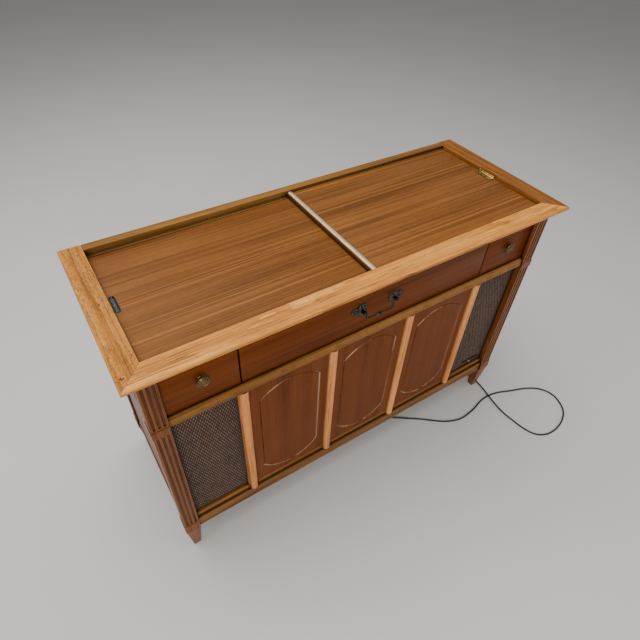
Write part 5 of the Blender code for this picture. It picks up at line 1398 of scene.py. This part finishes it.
def makeKnob(node, settings):
    x, y, foot = settings["centre"]
    radius, height, count = settings["radius"], settings["height"], settings["flutes"]
    bm = bmesh.new()
    # levels up the knob: share of the radius, rise, and whether it is fluted there
    levels = [
        (1.0, 0.0, 0), (1.0, 0.0026, 0), (0.95, 0.0034, 0), (0.87, 0.0048, 1), (0.84, height * 0.55, 1),
        (0.81, height - 0.0028, 1), (0.76, height - 0.0010, 0), (0.68, height - 0.0002, 0),
        (0.56, height - 0.0004, 0),
    ]
    loops = []
    for share, rise, fluted in levels:
        places = []
        for i in range(count * 4):
            angle = math.tau * i / (count * 4)
            reach = radius * share - (0.0006 * (1 - math.cos(angle * count)) / 2 if fluted else 0.0)
            places.append((x + reach * math.cos(angle), y + reach * math.sin(angle), foot + rise))
        loops.append(addLoop(bm, places))
    bridgeAll(bm, loops)
    bmesh.ops.holes_fill(bm, edges=loops[0] + loops[-1], sides=0)
    stem = camel(node)[:-6]
    newPiece(stem + "Body", bm, "brownPlastic", node, (node,), 40)
    cap = bmesh.new()
    wide = radius * 0.55
    disc = [
        (0.0, 0.0016), (wide, 0.0016), (wide, 0.0006), (wide - 0.0006, 0.0001), (wide * 0.7, 0.0003),
        (0.0, 0.0005),
    ]
    addTurned(cap, [(out, height - drop) for out, drop in disc], (x, y, foot), "Z", 48)
    newPiece(stem + "Cap", cap, "liftBrass", node)
    mark = bmesh.new()
    low = (x - 0.0006, y + radius * 0.58, foot + height - 0.0006)
    addBlock(mark, low, (x + 0.0006, y + radius * 0.74, foot + height - 0.0001), 0.0001)
    newPiece(stem + "Mark", mark, "ivoryPlastic", node)


for node, settings in knobs.items():
    makeKnob(node, settings)
print("tuner built")

# ---- screws in the back panel and the changer plate


screws = {
    "backY": 0.2135, "backRadius": 0.0036, "rowX": (-0.505, -0.34, -0.17, 0.0, 0.17, 0.34, 0.505),
    "rowZ": (0.122, 0.722), "sideX": (-0.517, 0.517), "sideZ": (0.30, 0.48, 0.62), "plateRadius": 0.0042,
    "plate": ((-0.4315, -0.126), (-0.1345, 0.126), (-0.4315, 0.126), (-0.168, -0.126)),
}


def addScrew(bm, place, axis, radius):
    profile = [
        (0.0, -0.0004), (radius, -0.0004), (radius, 0.0002), (radius * 0.8, radius * 0.30),
        (radius * 0.45, radius * 0.42), (0.0, radius * 0.45),
    ]
    addTurned(bm, profile, place, axis, 20)


def makeScrews(settings):
    back = bmesh.new()
    spots = [(x, z) for x in settings["rowX"] for z in settings["rowZ"]]
    spots += [(x, z) for z in settings["sideZ"] for x in settings["sideX"]]
    for x, z in spots:
        addScrew(back, (x, settings["backY"], z), "Y", settings["backRadius"])
    newPiece("backScrews", back, "steel")
    plate = bmesh.new()
    for x, y in settings["plate"]:
        addScrew(plate, (x, y, plateTop), "Z", settings["plateRadius"])
    newPiece("plateScrews", plate, "chrome")


makeScrews(screws)

frameFloor = {"size": 30.0}


def makeStage(settings):
    bm = bmesh.new()
    bmesh.ops.create_grid(bm, x_segments=1, y_segments=1, size=settings["size"])
    mesh = bpy.data.meshes.new("floor")
    bm.to_mesh(mesh)
    bm.free()
    material, tree, shader = newMaterial("paleFloor", 0.65)
    clouds = noise(tree, objectPlace(tree), 1.5, 3.0)
    feed(tree, shader, blend(tree, clouds, tone(206, 206, 208), tone(216, 216, 217)))
    mesh.materials.append(material)
    floor = bpy.data.objects.new("floor", mesh)
    bpy.context.scene.collection.objects.link(floor)


lights = {
    "overhead": {
        "place": (-0.5, 0.5, 2.9), "aim": (0, 0, 0.5), "size": 3.2, "power": 104,
        "colour": (1.0, 0.97, 0.92),
    },
    "window": {
        "place": (-1.3, -2.7, 2.3), "aim": (0, -0.1, 0.5), "size": 1.5, "power": 52,
        "colour": (1.0, 0.98, 0.95),
    },
    "fill": {
        "place": (2.4, -2.2, 1.4), "aim": (0.1, -0.1, 0.4), "size": 2.0, "power": 14,
        "colour": (1.0, 0.96, 0.92),
    },
}


def makeLights(settings):
    for name, lamp in settings.items():
        light = bpy.data.lights.new(name, "AREA")
        light.size = lamp["size"]
        light.energy = lamp["power"]
        light.color = lamp["colour"]
        holder = bpy.data.objects.new(name, light)
        bpy.context.scene.collection.objects.link(holder)
        aim = Vector(lamp["aim"]) - Vector(lamp["place"])
        holder.matrix_world = Matrix.Translation(
            lamp["place"]
        ) @ aim.to_track_quat("-Z", "Y").to_matrix().to_4x4()
    world = bpy.data.worlds.new("room")
    world.use_nodes = True
    world.node_tree.nodes["Background"].inputs[0].default_value = (1.0, 0.98, 0.95, 1.0)
    world.node_tree.nodes["Background"].inputs[1].default_value = 0.24
    bpy.context.scene.world = world


makeStage(frameFloor)
makeLights(lights)
print("stage lit")
